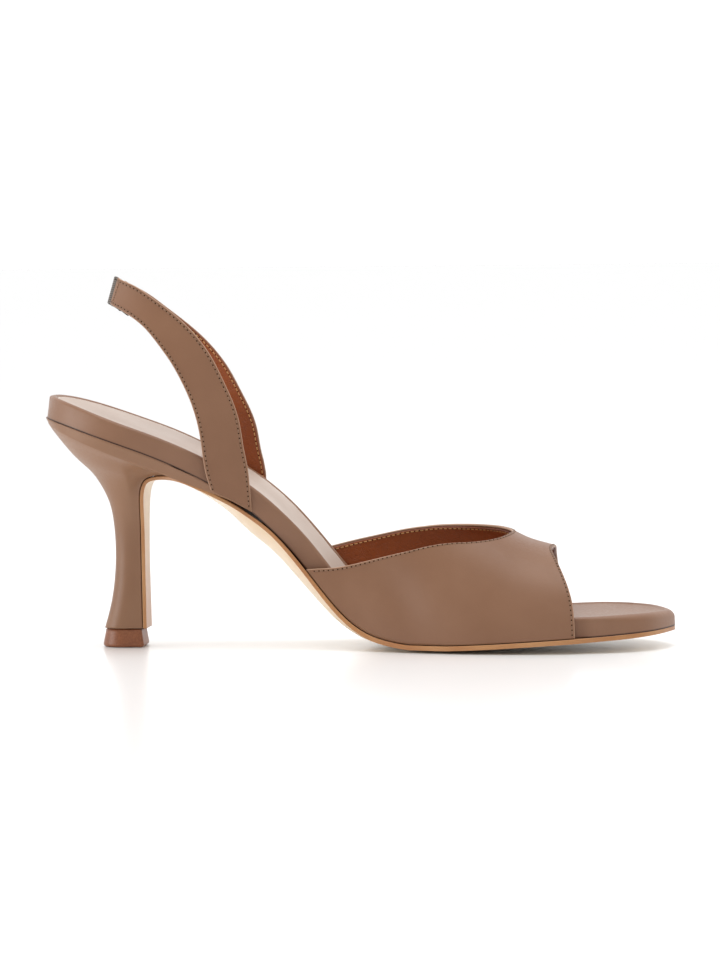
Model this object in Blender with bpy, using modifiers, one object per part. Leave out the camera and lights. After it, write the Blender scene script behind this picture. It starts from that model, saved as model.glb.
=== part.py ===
"""Slingback sandal with an open toe on a tall covered heel, a left shoe.

The frame: +X runs to the toe, +Y to the shoe's outer (lateral) side, +Z up, in metres.
The origin is on the floor, in the middle of the flat spot under the ball of the foot.
Every piece is worked out from the bed, the line along the underside of the insole, and from the outline
of the foot seen from above. Tables hold shares of the named sizes, one row for each section.
"""

import bmesh
import bpy
import numpy as np

# Sizes of the whole shoe, in metres
SHOE_LENGTH = 0.2215
BALL_WIDTH = 0.076
SEAT_HEIGHT = 0.0815
TOE_SPRING = 0.0045
GAP = 0.0003

# Where the flat spot lies along the shoe
REST_SHARE = 0.6184

# Insole
INSOLE_THICK = 0.0070
INSOLE_ROUND = 0.0012
INSOLE_HEM = 0.0004
INSOLE_DISH = 0.0012
BED_BELLY = 0.0028

# Outsole, from the toe to the foot of the flap
OUTSOLE_THICK = 0.0025
OUTSOLE_EDGE = 0.0020
WAIST_EDGE = 0.0013
WAIST_CROWN = 0.0016
OUTSOLE_PROUD = 0.0003
OUTSOLE_HEM = 0.0005

# Vamp: its wall, and the last inside it, whose heights go with the ball's width
VAMP_WALL = 0.0018
VAMP_PROUD = 0.0009
VAMP_ROOM = 0.0004
CROWN_SHARE = 0.479
THROAT_SHARE = 0.530
RIDGE_SHARE = -0.0395
SECTION_POWER = 2.4
CROWN_HEIGHT = CROWN_SHARE * BALL_WIDTH
THROAT_HEIGHT = THROAT_SHARE * BALL_WIDTH
RIDGE_SHIFT = RIDGE_SHARE * BALL_WIDTH

# Slingback: its places go with the shoe's length, its heights with the seat, its spread with the ball
STRAP_WALL = 0.0015
FOOT_ROOM = 0.0001
STRAP_FOOT_SHARE = 0.3409
STRAP_REACH_SHARE = 0.2334
STRAP_RISE_SHARE = 1.016
STRAP_LOW_SHARE = 0.5963
MEDIAL_SPREAD_SHARE = 0.3342
LATERAL_SPREAD_SHARE = 0.3447
LATERAL_SAG = 0.0055
ELASTIC_WALL = 0.0012
ELASTIC_DROP = 0.0013
ELASTIC_BULGE = 0.0016
STRAP_FOOT_AT = STRAP_FOOT_SHARE * SHOE_LENGTH
STRAP_REACH = STRAP_REACH_SHARE * SHOE_LENGTH
STRAP_RISE = STRAP_RISE_SHARE * SEAT_HEIGHT
STRAP_FOOT_HEIGHT = STRAP_LOW_SHARE * SEAT_HEIGHT
MEDIAL_SPREAD = MEDIAL_SPREAD_SHARE * BALL_WIDTH
LATERAL_SPREAD = LATERAL_SPREAD_SHARE * BALL_WIDTH

# Heel: its places go with the shoe's length, its heights with the seat, its widths with the ball
BREAST_SHARE = 0.1499
LIP_SHARE = 0.1806
DEPTH_SHARE = 0.1558
ARCH_SHARE = 0.7485
STEM_SHARE = 0.0803
HEEL_PROUD = 0.0004
TOP_PIECE_FLARE = 0.0007
TOP_PIECE_STEP = 0.0004
TOP_PIECE_SHARE = 0.0761
BREAST_AT = BREAST_SHARE * SHOE_LENGTH
LIP_REACH = LIP_SHARE * SHOE_LENGTH
HEEL_DEPTH = DEPTH_SHARE * SHOE_LENGTH
ARCH_HEIGHT = ARCH_SHARE * SEAT_HEIGHT
STEM_HALF = STEM_SHARE * BALL_WIDTH
TOP_PIECE_HIGH = TOP_PIECE_SHARE * SEAT_HEIGHT

# The bed, seen from the side: how far along, share of the heel's rise, share of the toe spring
BED = (
    ("along", "rise", "spring"),
    (0.000, 1.000, 0.00),
    (0.032, 0.979, 0.00),
    (0.090, 0.927, 0.00),
    (0.180, 0.836, 0.00),
    (0.260, 0.729, 0.00),
    (0.300, 0.662, 0.00),
    (0.340, 0.577, 0.00),
    (0.400, 0.404, 0.00),
    (0.440, 0.262, 0.00),
    (0.480, 0.130, 0.00),
    (0.520, 0.047, 0.00),
    (0.560, 0.012, 0.00),
    (0.590, 0.000, 0.00),
    (0.650, 0.000, 0.00),
    (0.730, 0.000, 0.20),
    (0.840, 0.000, 0.53),
    (0.920, 0.000, 0.76),
    (1.000, 0.000, 1.00),
)

# The outline, seen from above: how far along, then both half widths as shares of the ball width
OUTLINE = (
    ("along", "medial", "lateral"),
    (0.000, 0.000, 0.000),
    (0.032, 0.226, 0.226),
    (0.068, 0.302, 0.302),
    (0.104, 0.340, 0.338),
    (0.167, 0.347, 0.347),
    (0.230, 0.317, 0.322),
    (0.297, 0.282, 0.296),
    (0.365, 0.260, 0.279),
    (0.420, 0.255, 0.284),
    (0.478, 0.279, 0.329),
    (0.545, 0.342, 0.402),
    (0.617, 0.420, 0.474),
    (0.685, 0.474, 0.508),
    (0.748, 0.495, 0.504),
    (0.806, 0.493, 0.480),
    (0.860, 0.470, 0.434),
    (0.914, 0.418, 0.363),
    (0.950, 0.355, 0.276),
    (0.978, 0.255, 0.155),
    (0.993, 0.150, 0.040),
    (1.000, 0.055, -0.055),
)

# How the bed changes along the shoe, as shares of the named thicknesses
BED_CHANGE = (
    ("along", "insole", "belly", "outsole", "crown"),
    (0.00, 1.14, 0.00, 0.00, 0.0),
    (0.05, 1.07, 0.00, 0.00, 0.3),
    (0.13, 1.00, 0.00, 0.00, 0.8),
    (0.348, 1.00, 0.00, 0.00, 1.0),
    (0.37, 1.00, 0.45, 0.00, 1.0),
    (0.42, 1.00, 1.00, 0.05, 1.0),
    (0.48, 1.00, 0.90, 0.45, 0.8),
    (0.53, 1.00, 0.40, 0.90, 0.5),
    (0.57, 1.00, 0.00, 1.00, 0.4),
    (0.75, 1.00, 0.00, 1.00, 0.4),
    (0.86, 0.96, 0.00, 1.00, 0.3),
    (0.93, 0.86, 0.00, 1.00, 0.2),
    (0.97, 0.79, 0.00, 0.90, 0.1),
    (1.00, 0.70, 0.00, 0.00, 0.0),
)

# The last above the bed where the vamp lies, as shares of the crown height at the throat
CROWN = (
    ("along", "crown"),
    (0.387, 2.09),
    (0.500, 1.81),
    (0.590, 1.52),
    (0.653, 1.32),
    (0.703, 1.14),
    (0.743, 1.00),
    (0.761, 0.937),
    (0.779, 0.890),
    (0.802, 0.843),
    (0.838, 0.770),
    (0.865, 0.720),
)

# The topline from the side, as shares of the throat's height over the floor
MEDIAL_TOPLINE = (
    ("along", "height"),
    (0.423, 0.703),
    (0.446, 0.710),
    (0.466, 0.718),
    (0.493, 0.744),
    (0.526, 0.790),
    (0.558, 0.834),
    (0.590, 0.876),
    (0.622, 0.918),
    (0.653, 0.948),
    (0.685, 0.970),
    (0.716, 0.986),
    (0.743, 1.000),
)
LATERAL_TOPLINE = (
    ("along", "height"),
    (0.410, 0.797),
    (0.441, 0.834),
    (0.468, 0.871),
    (0.516, 0.928),
    (0.548, 0.965),
    (0.580, 0.993),
    (0.612, 1.010),
    (0.637, 1.016),
    (0.678, 1.020),
    (0.712, 1.018),
    (0.730, 1.010),
    (0.743, 1.000),
)

# The vamp's front edge: share of the way over from the medial to the lateral side
FRONT_EDGE = (
    ("turn", "along"),
    (0.00, 0.853),
    (0.12, 0.849),
    (0.20, 0.841),
    (0.28, 0.830),
    (0.39, 0.815),
    (0.50, 0.803),
    (0.62, 0.797),
    (0.80, 0.802),
    (1.00, 0.815),
)

# One half of the slingback, from the insole's side to the middle of the back: both edges, as shares of
# its reach, rise and spread. The foot stays on the insole's side, so its spread comes from the outline.
SLING = (
    ("share", "back_x", "back_z", "front_x", "front_z", "back_y", "front_y"),
    (0.000, 0.278, 0.096, 0.008, 0.000, 0.975, 0.862),
    (0.085, 0.315, 0.179, 0.029, 0.178, 0.992, 0.868),
    (0.155, 0.333, 0.258, 0.054, 0.262, 0.998, 0.872),
    (0.240, 0.356, 0.355, 0.081, 0.372, 0.988, 0.872),
    (0.320, 0.397, 0.446, 0.126, 0.466, 0.960, 0.864),
    (0.405, 0.455, 0.530, 0.193, 0.560, 0.917, 0.848),
    (0.500, 0.532, 0.618, 0.280, 0.665, 0.862, 0.822),
    (0.585, 0.607, 0.684, 0.397, 0.760, 0.800, 0.778),
    (0.675, 0.712, 0.763, 0.542, 0.842, 0.700, 0.700),
    (0.775, 0.824, 0.820, 0.696, 0.911, 0.580, 0.600),
    (0.870, 0.922, 0.855, 0.826, 0.959, 0.445, 0.475),
    (0.945, 0.988, 0.874, 0.930, 0.987, 0.255, 0.285),
    (1.000, 1.015, 0.882, 0.960, 1.000, 0.000, 0.000),
)
STRAP_END_SHARE = 0.945
ELASTIC_FROM_SHARE = 0.900

# The heel from its base to its lip: the front follows the breast and the lip, the back its outer curve.
# front_x is a share of the lip's reach, front_z and back_z of the arch, back_x of the heel's depth.
HEEL = (
    ("front_x", "front_z", "front_half", "back_x", "back_z", "side_half"),
    (0.0075, 0.107, 1.07, 0.403, 0.107, 1.14),
    (0.0050, 0.230, 1.05, 0.342, 0.230, 1.10),
    (0.0025, 0.361, 1.00, 0.301, 0.361, 1.03),
    (0.0000, 0.508, 0.97, 0.281, 0.508, 1.00),
    (0.0000, 0.672, 1.03, 0.287, 0.664, 1.07),
    (0.0000, 0.803, 1.25, 0.325, 0.811, 1.31),
    (0.0075, 0.893, 1.48, 0.403, 0.918, 1.70),
    (0.0400, 0.957, 1.61, 0.507, 1.008, 2.30),
    (0.1125, 0.990, 1.77, 0.629, 1.075, 2.89),
    (0.2575, 1.000, 2.10, 0.742, 1.134, 3.38),
    (0.4450, 0.977, 2.66, 0.838, 1.193, 3.77),
    (0.6950, 0.908, 3.16, 0.919, 1.256, 4.07),
    (1.0000, 0.813, 3.38, 0.980, 1.326, 4.30),
)

# How the slab of the insole or outsole is bowed across: share of the half width, share of the bow
BOW = (
    ("across", "bow"),
    (-0.66, 0.56),
    (-0.33, 0.89),
    (0.00, 1.00),
    (0.33, 0.89),
    (0.66, 0.56),
)
TOP_INSET_SHARE = 0.97
CORNER_SHARE = 0.29
EDGE_LIMIT_SHARE = 0.45

# The tip under the heel, from the floor up: share of its height, share of its flare
TOP_PIECE = (
    ("height", "flare"),
    (0.00, 0.8),
    (0.12, 1.0),
    (1.00, 0.0),
)

# Shares along the shoe and the heel
END_SHARE = 0.0008
SEAT_START_SHARE = 0.0004
VAMP_FADE_SHARE = 0.022
DISH_FADE_SHARE = 0.2
LIP_OVERLAP_SHARE = 0.012
LIP_SWELL_SHARE = 0.72
HEEL_SHARE_TOP = 0.955
SIDE_START_SHARE = 0.9
SLOPE_SHARE = 0.002
HEEL_SLOPE_SHARE = 0.01

# How finely each form is cut
BED_STATIONS = 46
OUTSOLE_STATIONS = 40
FLAP_STATIONS = 30
VAMP_ROWS = 14
VAMP_COLUMNS = 44
EVEN_TURN_SHARE = 0.65
SLING_ROWS = 26
SLING_COLUMNS = 4
ELASTIC_ROWS = 17
HEEL_RINGS = 26
HEEL_BACK_POINTS = 8
HEEL_SIDE_POINTS = 4
TOPLINE_STEPS = 240

LEATHER = (0.27, 0.16, 0.095, 1.0)
LINING = (0.26, 0.075, 0.025, 1.0)
SOLE_LEATHER = (0.55, 0.30, 0.12, 1.0)
DARK_ELASTIC = (0.10, 0.07, 0.05, 1.0)
TIP_PLASTIC = (0.19, 0.07, 0.035, 1.0)


def column(table, name):
    """One named column of a table, as an array."""
    place = table[0].index(name)
    return np.array([row[place] for row in table[1:]], float)


def spline(keys, values):
    """A natural cubic curve through the values, as a function of the key."""
    count = len(keys)
    step = np.diff(keys)
    slope = np.diff(values) / step
    system = np.eye(count)
    known = np.zeros(count)
    for i in range(1, count - 1):
        system[i, i - 1] = step[i - 1]
        system[i, i] = 2 * (step[i - 1] + step[i])
        system[i, i + 1] = step[i]
        known[i] = 6 * (slope[i] - slope[i - 1])
    bend = np.linalg.solve(system, known)

    def at(key):
        key = np.clip(np.asarray(key, float), keys[0], keys[-1])
        i = np.clip(np.searchsorted(keys, key) - 1, 0, count - 2)
        h = step[i]
        a = (keys[i + 1] - key) / h
        b = (key - keys[i]) / h
        curve = (a**3 - a) * bend[i] + (b**3 - b) * bend[i + 1]
        return a * values[i] + b * values[i + 1] + curve * h * h / 6

    return at


def turn_of(along):
    """Along the shoe as an angle share, so that the round ends get their points close together."""
    return np.arccos(1 - 2 * np.clip(along, 0.0, 1.0)) / np.pi


bed_rise = spline(column(BED, "along"), column(BED, "rise"))
bed_spring = spline(column(BED, "along"), column(BED, "spring"))
medial_share = spline(turn_of(column(OUTLINE, "along")), column(OUTLINE, "medial"))
lateral_share = spline(turn_of(column(OUTLINE, "along")), column(OUTLINE, "lateral"))
crown_share = spline(column(CROWN, "along"), column(CROWN, "crown"))
front_along = spline(column(FRONT_EDGE, "turn"), column(FRONT_EDGE, "along"))


def eased(share):
    """A share from 0 to 1 that starts and ends softly."""
    share = np.clip(share, 0, 1)
    return share * share * (3 - 2 * share)


def change(along, name):
    """A share that changes along the bed, straight between its rows."""
    return np.interp(along, column(BED_CHANGE, "along"), column(BED_CHANGE, name))


def x_at(along):
    """The place along the floor of a share of the shoe's length."""
    return (along - REST_SHARE) * SHOE_LENGTH


def along_at(x):
    """The share of the shoe's length at a place along the floor."""
    return x / SHOE_LENGTH + REST_SHARE


def bed_height(along):
    """The underside of the insole over the floor, at the insole's edge."""
    flat = OUTSOLE_THICK + GAP
    rise = np.clip(bed_rise(along), 0.0, None) * (SEAT_HEIGHT - flat)
    return flat + rise + np.clip(bed_spring(along), 0.0, None) * TOE_SPRING


def bed_normal(along):
    """The unit normal of the bed seen from the side, as its x and z."""
    run = 2 * SLOPE_SHARE * SHOE_LENGTH
    drop = bed_height(along - SLOPE_SHARE) - bed_height(along + SLOPE_SHARE)
    size = np.hypot(run, drop)
    return drop / size, run / size


def half_widths(along):
    """The outline's half widths: to the medial side and to the lateral side."""
    turn = turn_of(along)
    return medial_share(turn) * BALL_WIDTH, lateral_share(turn) * BALL_WIDTH


def under_vamp(along):
    """From 0 to 1 where the vamp's wall lies against the insole."""
    start = LATERAL_TOPLINE[1][0] - VAMP_FADE_SHARE
    end = FRONT_EDGE[1][1] + VAMP_FADE_SHARE
    return eased((along - start) / VAMP_FADE_SHARE) * eased((end - along) / VAMP_FADE_SHARE)


def mesh_object(name, points, faces, colour, roughness, home):
    """An object from points and faces, its faces turned outwards, in one material."""
    mesh = bpy.data.meshes.new(name)
    mesh.from_pydata([tuple(p) for p in points], [], faces)
    work = bmesh.new()
    work.from_mesh(mesh)
    bmesh.ops.recalc_face_normals(work, faces=work.faces)
    work.to_mesh(mesh)
    work.free()
    mesh.shade_smooth()
    piece = bpy.data.objects.new(name, mesh)
    home.objects.link(piece)
    piece.data.materials.append(paint(name, colour, roughness))
    return piece


def paint(name, colour, roughness):
    """A plain material in the piece's colour."""
    material = bpy.data.materials.new(name)
    material.use_nodes = True
    shader = material.node_tree.nodes["Principled BSDF"]
    shader.inputs["Base Color"].default_value = colour
    shader.inputs["Roughness"].default_value = roughness
    shader.inputs["Metallic"].default_value = 0.0
    return material


def loft(rings, cap_start, cap_end):
    """Points and faces of a skin over closed rings. A cap is None or a function from ring to faces."""
    rings = np.asarray(rings)
    count, size = rings.shape[:2]
    faces = []
    for i in range(count - 1):
        for j in range(size):
            k = (j + 1) % size
            faces.append((i * size + j, i * size + k, (i + 1) * size + k, (i + 1) * size + j))
    faces += [tuple(j for j in face) for face in cap_start(size)]
    base = (count - 1) * size
    faces += [tuple(base + j for j in face) for face in cap_end(size)]
    return rings.reshape(-1, 3), faces


def flat_cap(size):
    """One face over a flat ring."""
    return [tuple(range(size))]


def laced_cap(size):
    """Faces straight across a ring that is the same on both sides of its first point."""
    half = size // 2
    rows = [(0, 1, size - 1)]
    rows += [(j, j + 1, size - j - 1, size - j) for j in range(1, half - 1 + size % 2)]
    if size % 2 == 0:
        rows.append((half - 1, half, half + 1))
    return rows


def grid_faces(rows, columns):
    """Faces of an open grid of rows and columns."""
    faces = []
    for i in range(rows - 1):
        for j in range(columns - 1):
            a = i * columns + j
            faces.append((a, a + 1, a + columns + 1, a + columns))
    return faces


def slab_section(half, thick, top_round, hem, sag_top, sag_bottom):
    """A flat slab seen from its end: across and up, its underside first, from medial to lateral."""
    top_round = min(top_round, half * EDGE_LIMIT_SHARE, thick * EDGE_LIMIT_SHARE)
    hem = min(hem, half * EDGE_LIMIT_SHARE, thick * EDGE_LIMIT_SHARE)
    soft = top_round * CORNER_SHARE
    points = [(-half + hem, 0.0)]
    points += [(share * half, -bow * sag_bottom) for share, bow in BOW[1:]]
    points += [(half - hem, 0.0), (half, hem), (half, thick - top_round), (half - soft, thick - soft)]
    points += [(half - top_round, thick)]
    points += [(-share * half * TOP_INSET_SHARE, thick - bow * sag_top) for share, bow in BOW[1:]]
    points += [(-half + top_round, thick), (-half + soft, thick - soft), (-half, thick - top_round)]
    points += [(-half, hem)]
    return np.array(points)


def stations(first, last, count):
    """Shares along the shoe, closer together near its round ends."""
    turns = np.linspace(turn_of(first), turn_of(last), count)
    return (1 - np.cos(np.pi * turns)) / 2


def build_insole(home):
    """The footbed: a slab bent along the bed, dished on top, its underside bowed at the waist."""
    rings = []
    for along in stations(END_SHARE, 1 - END_SHARE, BED_STATIONS):
        medial, lateral = half_widths(along)
        inset = (VAMP_WALL - VAMP_PROUD + GAP + VAMP_ROOM) * under_vamp(along)
        half = (medial + lateral) / 2 - inset
        middle = (lateral - medial) / 2
        thick = INSOLE_THICK * change(along, "insole")
        end_fade = min(1.0, half / (DISH_FADE_SHARE * BALL_WIDTH))
        belly = BED_BELLY * change(along, "belly")
        section = slab_section(
            half, thick, INSOLE_ROUND, INSOLE_HEM, INSOLE_DISH * end_fade + belly / 2, belly
        )
        lean, up = bed_normal(along)
        across, high = section[:, 0], section[:, 1]
        ring = [x_at(along) + lean * high, middle + across, bed_height(along) + up * high]
        rings.append(np.stack(ring, 1))
    points, faces = loft(rings, flat_cap, flat_cap)
    return mesh_object("insole", points, faces, LEATHER, 0.5, home)


def heel_row(name, share, unit):
    """A column of the heel's table at a share of the way from its base to its lip."""
    values = column(HEEL, name)
    return spline(np.linspace(0, 1, len(values)), values)(share) * unit


def heel_front(share):
    """The heel's front line at a share of the way up: x, z and half width."""
    x = x_at(0) + BREAST_AT + heel_row("front_x", share, LIP_REACH)
    return x, heel_row("front_z", share, ARCH_HEIGHT), heel_row("front_half", share, STEM_HALF)


def heel_ring(share):
    """One ring of the heel, from the middle of its back round the medial side and back again."""
    front_x, front_z, front_half = heel_front(share)
    back_x = x_at(0) + BREAST_AT - heel_row("back_x", share, HEEL_DEPTH)
    back_z = heel_row("back_z", share, ARCH_HEIGHT)
    side = heel_row("side_half", share, STEM_HALF)
    depth = front_x - back_x
    round_share = min(SIDE_START_SHARE, side / depth)
    turn = np.linspace(0, np.pi / 2, HEEL_BACK_POINTS)
    straight = np.linspace(round_share, 1, HEEL_SIDE_POINTS + 1)[1:]
    walk = np.concatenate([round_share * (1 - np.cos(turn)), straight])
    rest = eased((walk - round_share) / (1 - round_share))
    turned = np.concatenate([np.sin(turn), np.ones(HEEL_SIDE_POINTS)])
    half = side * turned + (front_half - side) * rest
    x = back_x + depth * walk
    z = back_z + (front_z - back_z) * walk
    medial = np.stack([x, -half, z], 1)
    lateral = np.stack([x, half, z], 1)[1:][::-1]
    front = np.array([[front_x, front_half * s, front_z] for s in (-0.5, 0.0, 0.5)])
    return np.concatenate([medial, front, lateral])


def seat_ring():
    """The heel's top ring: the insole's own outline, a gap under the bed."""
    low = heel_ring(1.0)
    reach = low[:, 0].max() - low[0, 0]
    ring = []
    for x, y, _ in low:
        share = (x - low[0, 0]) / reach
        along = SEAT_START_SHARE + share * (along_at(low[:, 0].max()) - SEAT_START_SHARE)
        medial, lateral = half_widths(along)
        lean, up = bed_normal(along)
        limit = lateral if y > 0 else medial
        back = HEEL_PROUD * (1 - share)
        wide = limit + back if share < 1 - SEAT_START_SHARE else min(abs(y), limit)
        ring.append((x_at(along) - back - lean * GAP, np.sign(y) * wide, bed_height(along) - up * GAP))
    return np.array(ring)


def build_heel(home):
    """The heel block: rings that swing from level at the base to the slope of the seat."""
    rings = [heel_ring(share) for share in np.linspace(0, HEEL_SHARE_TOP, HEEL_RINGS)]
    rings.append(seat_ring())
    points, faces = loft(rings, flat_cap, laced_cap)
    return mesh_object("heel", points, faces, LEATHER, 0.5, home)


def build_top_piece(home):
    """The tip under the heel: the heel's base ring, set in a little and flared to the floor."""
    base = heel_ring(0.0)
    middle = np.array([(base[:, 0].min() + base[:, 0].max()) / 2, 0.0])
    outward = base[:, :2] - middle
    size = np.linalg.norm(outward, axis=1)[:, None]
    rings = []
    for high, flare in TOP_PIECE[1:]:
        scale = 1 + (flare * TOP_PIECE_FLARE - TOP_PIECE_STEP) / size
        z = np.full(len(base), high * TOP_PIECE_HIGH)
        rings.append(np.column_stack([middle + outward * scale, z]))
    points, faces = loft(rings, flat_cap, flat_cap)
    return mesh_object("top_piece", points, faces, TIP_PLASTIC, 0.4, home)


def tread_path():
    """The outsole's upper face seen from the side, from the toe to the foot of the flap: x, z, half
    width to each side, edge thickness, crown and belly."""
    rows = []
    lip_along = along_at(x_at(0) + BREAST_AT + LIP_REACH)
    for along in stations(1 - END_SHARE, lip_along + LIP_OVERLAP_SHARE, OUTSOLE_STATIONS):
        medial, lateral = half_widths(along)
        lean, up = bed_normal(along)
        thick = WAIST_EDGE + (OUTSOLE_EDGE - WAIST_EDGE) * change(along, "outsole")
        proud = OUTSOLE_PROUD + VAMP_PROUD * under_vamp(along)
        rows.append(
            (
                x_at(along) - lean * GAP,
                bed_height(along) - up * GAP,
                medial + proud,
                lateral + proud,
                thick,
                WAIST_CROWN * change(along, "crown"),
                BED_BELLY * change(along, "belly"),
            )
        )
    for share in np.linspace(1.0, 0.0, FLAP_STATIONS)[1:]:
        x, z, half = heel_front(share)
        ahead = heel_front(min(share + HEEL_SLOPE_SHARE, 1.0))
        behind = heel_front(max(share - HEEL_SLOPE_SHARE, 0.0))
        run = np.array([ahead[0] - behind[0], ahead[1] - behind[1]])
        run /= np.linalg.norm(run)
        edge = half + OUTSOLE_PROUD * share
        crown = WAIST_CROWN * eased((share - LIP_SWELL_SHARE) / (1 - LIP_SWELL_SHARE))
        rows.append((x + run[1] * GAP, z - run[0] * GAP, edge, edge, WAIST_EDGE, crown, 0.0))
    return np.array(rows)


def build_outsole(home):
    """The outsole: a slab carried along the tread path, its waist thin at the edge and bowed below."""
    path = tread_path()
    line = path[:, :2]
    run = np.gradient(line, axis=0)
    run /= np.linalg.norm(run, axis=1)[:, None]
    rings = []
    for row, (run_x, run_z) in zip(path, run):
        x, z, medial, lateral, thick, crown, belly = row
        half = (medial + lateral) / 2
        middle = (lateral - medial) / 2
        section = slab_section(half, thick, OUTSOLE_HEM, OUTSOLE_HEM, belly, belly + crown)
        across = section[:, 0]
        high = section[:, 1] - thick
        up_x, up_z = run_z, -run_x
        ring_z = np.clip(z + up_z * high, 0.0, None)
        rings.append(np.stack([x + up_x * high, middle + across, ring_z], 1))
    points, faces = loft(rings, flat_cap, flat_cap)
    return mesh_object("outsole", points, faces, SOLE_LEATHER, 0.45, home)


def vamp_point(along, turn):
    """A point of the last under the vamp: turn runs from the medial feather (0) to the lateral (1)."""
    medial, lateral = half_widths(along)
    angle = turn * np.pi
    power = 2 / SECTION_POWER
    swing = np.abs(np.cos(angle)) ** power
    to_medial = -(medial + VAMP_PROUD + RIDGE_SHIFT)
    to_lateral = lateral + VAMP_PROUD - RIDGE_SHIFT
    wide = np.where(angle < np.pi / 2, to_medial, to_lateral)
    y = RIDGE_SHIFT + wide * swing
    crown = crown_share(along) * CROWN_HEIGHT
    z = bed_height(along) + crown * np.abs(np.sin(angle)) ** power
    return np.stack([x_at(along), y, z], -1)


def back_edge(turn):
    """How far along the vamp's topline lies at a turn, from the side view of the two toplines."""
    found = np.empty_like(turn)
    for table, side in ((MEDIAL_TOPLINE, turn <= 0.5), (LATERAL_TOPLINE, turn > 0.5)):
        keys = column(table, "along")
        along = np.linspace(keys[0], keys[-1], TOPLINE_STEPS)
        height = spline(keys, column(table, "height"))(along) * THROAT_HEIGHT
        share = (height - bed_height(along)) / (crown_share(along) * CROWN_HEIGHT)
        share[0], share[-1] = 0.0, 1.0
        angle = np.arcsin(np.clip(share, 0, 1) ** (SECTION_POWER / 2)) / np.pi
        angle = np.maximum.accumulate(angle)
        reach = np.minimum(turn[side], 1 - turn[side])
        found[side] = np.interp(reach, angle, along)
    return found


def build_vamp(home):
    """The vamp: an open sheet over the last between its topline and its front edge, given its wall."""
    turn = (1 - np.cos(np.linspace(0, np.pi, VAMP_COLUMNS))) / 2
    turn = (1 - EVEN_TURN_SHARE) * turn + EVEN_TURN_SHARE * np.linspace(0, 1, VAMP_COLUMNS)
    back = back_edge(turn)
    front = front_along(turn)
    rows = []
    for share in np.linspace(0, 1, VAMP_ROWS):
        rows.append(vamp_point(back + (front - back) * share, turn))
    points = np.concatenate(rows)
    piece = mesh_object("vamp", points, grid_faces(VAMP_ROWS, VAMP_COLUMNS), LEATHER, 0.5, home)
    face_outwards(piece)
    wall = piece.modifiers.new("wall", "SOLIDIFY")
    wall.thickness = VAMP_WALL
    wall.offset = -1.0
    wall.use_even_offset = True
    return piece


def face_outwards(piece):
    """Turns an open sheet's faces away from the inside of the shoe."""
    mesh = piece.data
    middle = np.mean([p.center[:] for p in mesh.polygons], axis=0)
    score = sum(np.dot(p.normal, np.subtract(p.center, middle)) for p in mesh.polygons)
    if score < 0:
        mesh.flip_normals()


def sling_splines():
    """The slingback's two edges all the way round, from the medial foot (0) to the lateral (2)."""
    share = column(SLING, "share")
    loop = np.concatenate([share, 2 - share[::-1][1:]])
    sag = np.concatenate([np.zeros(len(share)), np.sin(np.pi * share[::-1][1:]) * LATERAL_SAG])
    start = x_at(0) + STRAP_FOOT_AT
    edges = {}
    for edge in ("back", "front"):
        x = start - column(SLING, edge + "_x") * STRAP_REACH
        z = STRAP_FOOT_HEIGHT + column(SLING, edge + "_z") * STRAP_RISE
        y = column(SLING, edge + "_y")
        whole_x = np.concatenate([x, x[::-1][1:]])
        whole_y = np.concatenate([-y * MEDIAL_SPREAD, y[::-1][1:] * LATERAL_SPREAD])
        whole_z = np.concatenate([z, z[::-1][1:]]) - sag
        edges[edge] = [spline(loop, values) for values in (whole_x, whole_y, whole_z)]
    return edges


def sling_sheet(edges, first, last, rows, drop, inward):
    """An open sheet between the two edges, moved inwards from the strap's middle surface."""
    loop = np.linspace(first, last, rows)
    back = np.stack([value(loop) for value in edges["back"]], 1)
    front = np.stack([value(loop) for value in edges["front"]], 1)
    across = np.linspace(0, 1, SLING_COLUMNS)[None, :, None]
    sheet = back[:, None, :] * (1 - across) + front[:, None, :] * across
    run = np.gradient(sheet, axis=0)
    over = np.broadcast_to((front - back)[:, None, :], sheet.shape)
    normal = np.cross(run, over)
    normal /= np.linalg.norm(normal, axis=2)[:, :, None]
    middle = np.array([x_at(0) + STRAP_FOOT_AT - STRAP_REACH / 2, 0.0, sheet[:, :, 2].mean()])
    if np.sum(normal * (sheet - middle)) < 0:
        normal = -normal
    sheet = sheet - normal * np.reshape(inward, (-1, 1, 1))
    sheet[:, :, 2] -= drop
    lean, up = bed_normal(along_at(sheet[:, :, 0]))
    high = (sheet[:, :, 2] - bed_height(along_at(sheet[:, :, 0]))) * up
    foot = high < INSOLE_THICK + FOOT_ROOM
    medial, lateral = half_widths(along_at(sheet[:, :, 0] - lean * high))
    clear = STRAP_WALL / 2 + GAP + FOOT_ROOM
    beside = np.where(sheet[:, :, 1] < 0, -(medial + clear), lateral + clear)
    outside = np.where(np.abs(sheet[:, :, 1]) > np.abs(beside), sheet[:, :, 1], beside)
    sheet[:, :, 1] = np.where(foot, outside, sheet[:, :, 1])
    return sheet


def build_strap(name, edges, first, last, home):
    """One half of the slingback, its wall centred on the sheet."""
    sheet = sling_sheet(edges, first, last, SLING_ROWS, 0.0, 0.0)
    piece = mesh_object(name, sheet.reshape(-1, 3), grid_faces(*sheet.shape[:2]), LEATHER, 0.5, home)
    wall = piece.modifiers.new("wall", "SOLIDIFY")
    wall.thickness = STRAP_WALL
    wall.offset = 0.0
    return piece


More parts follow.
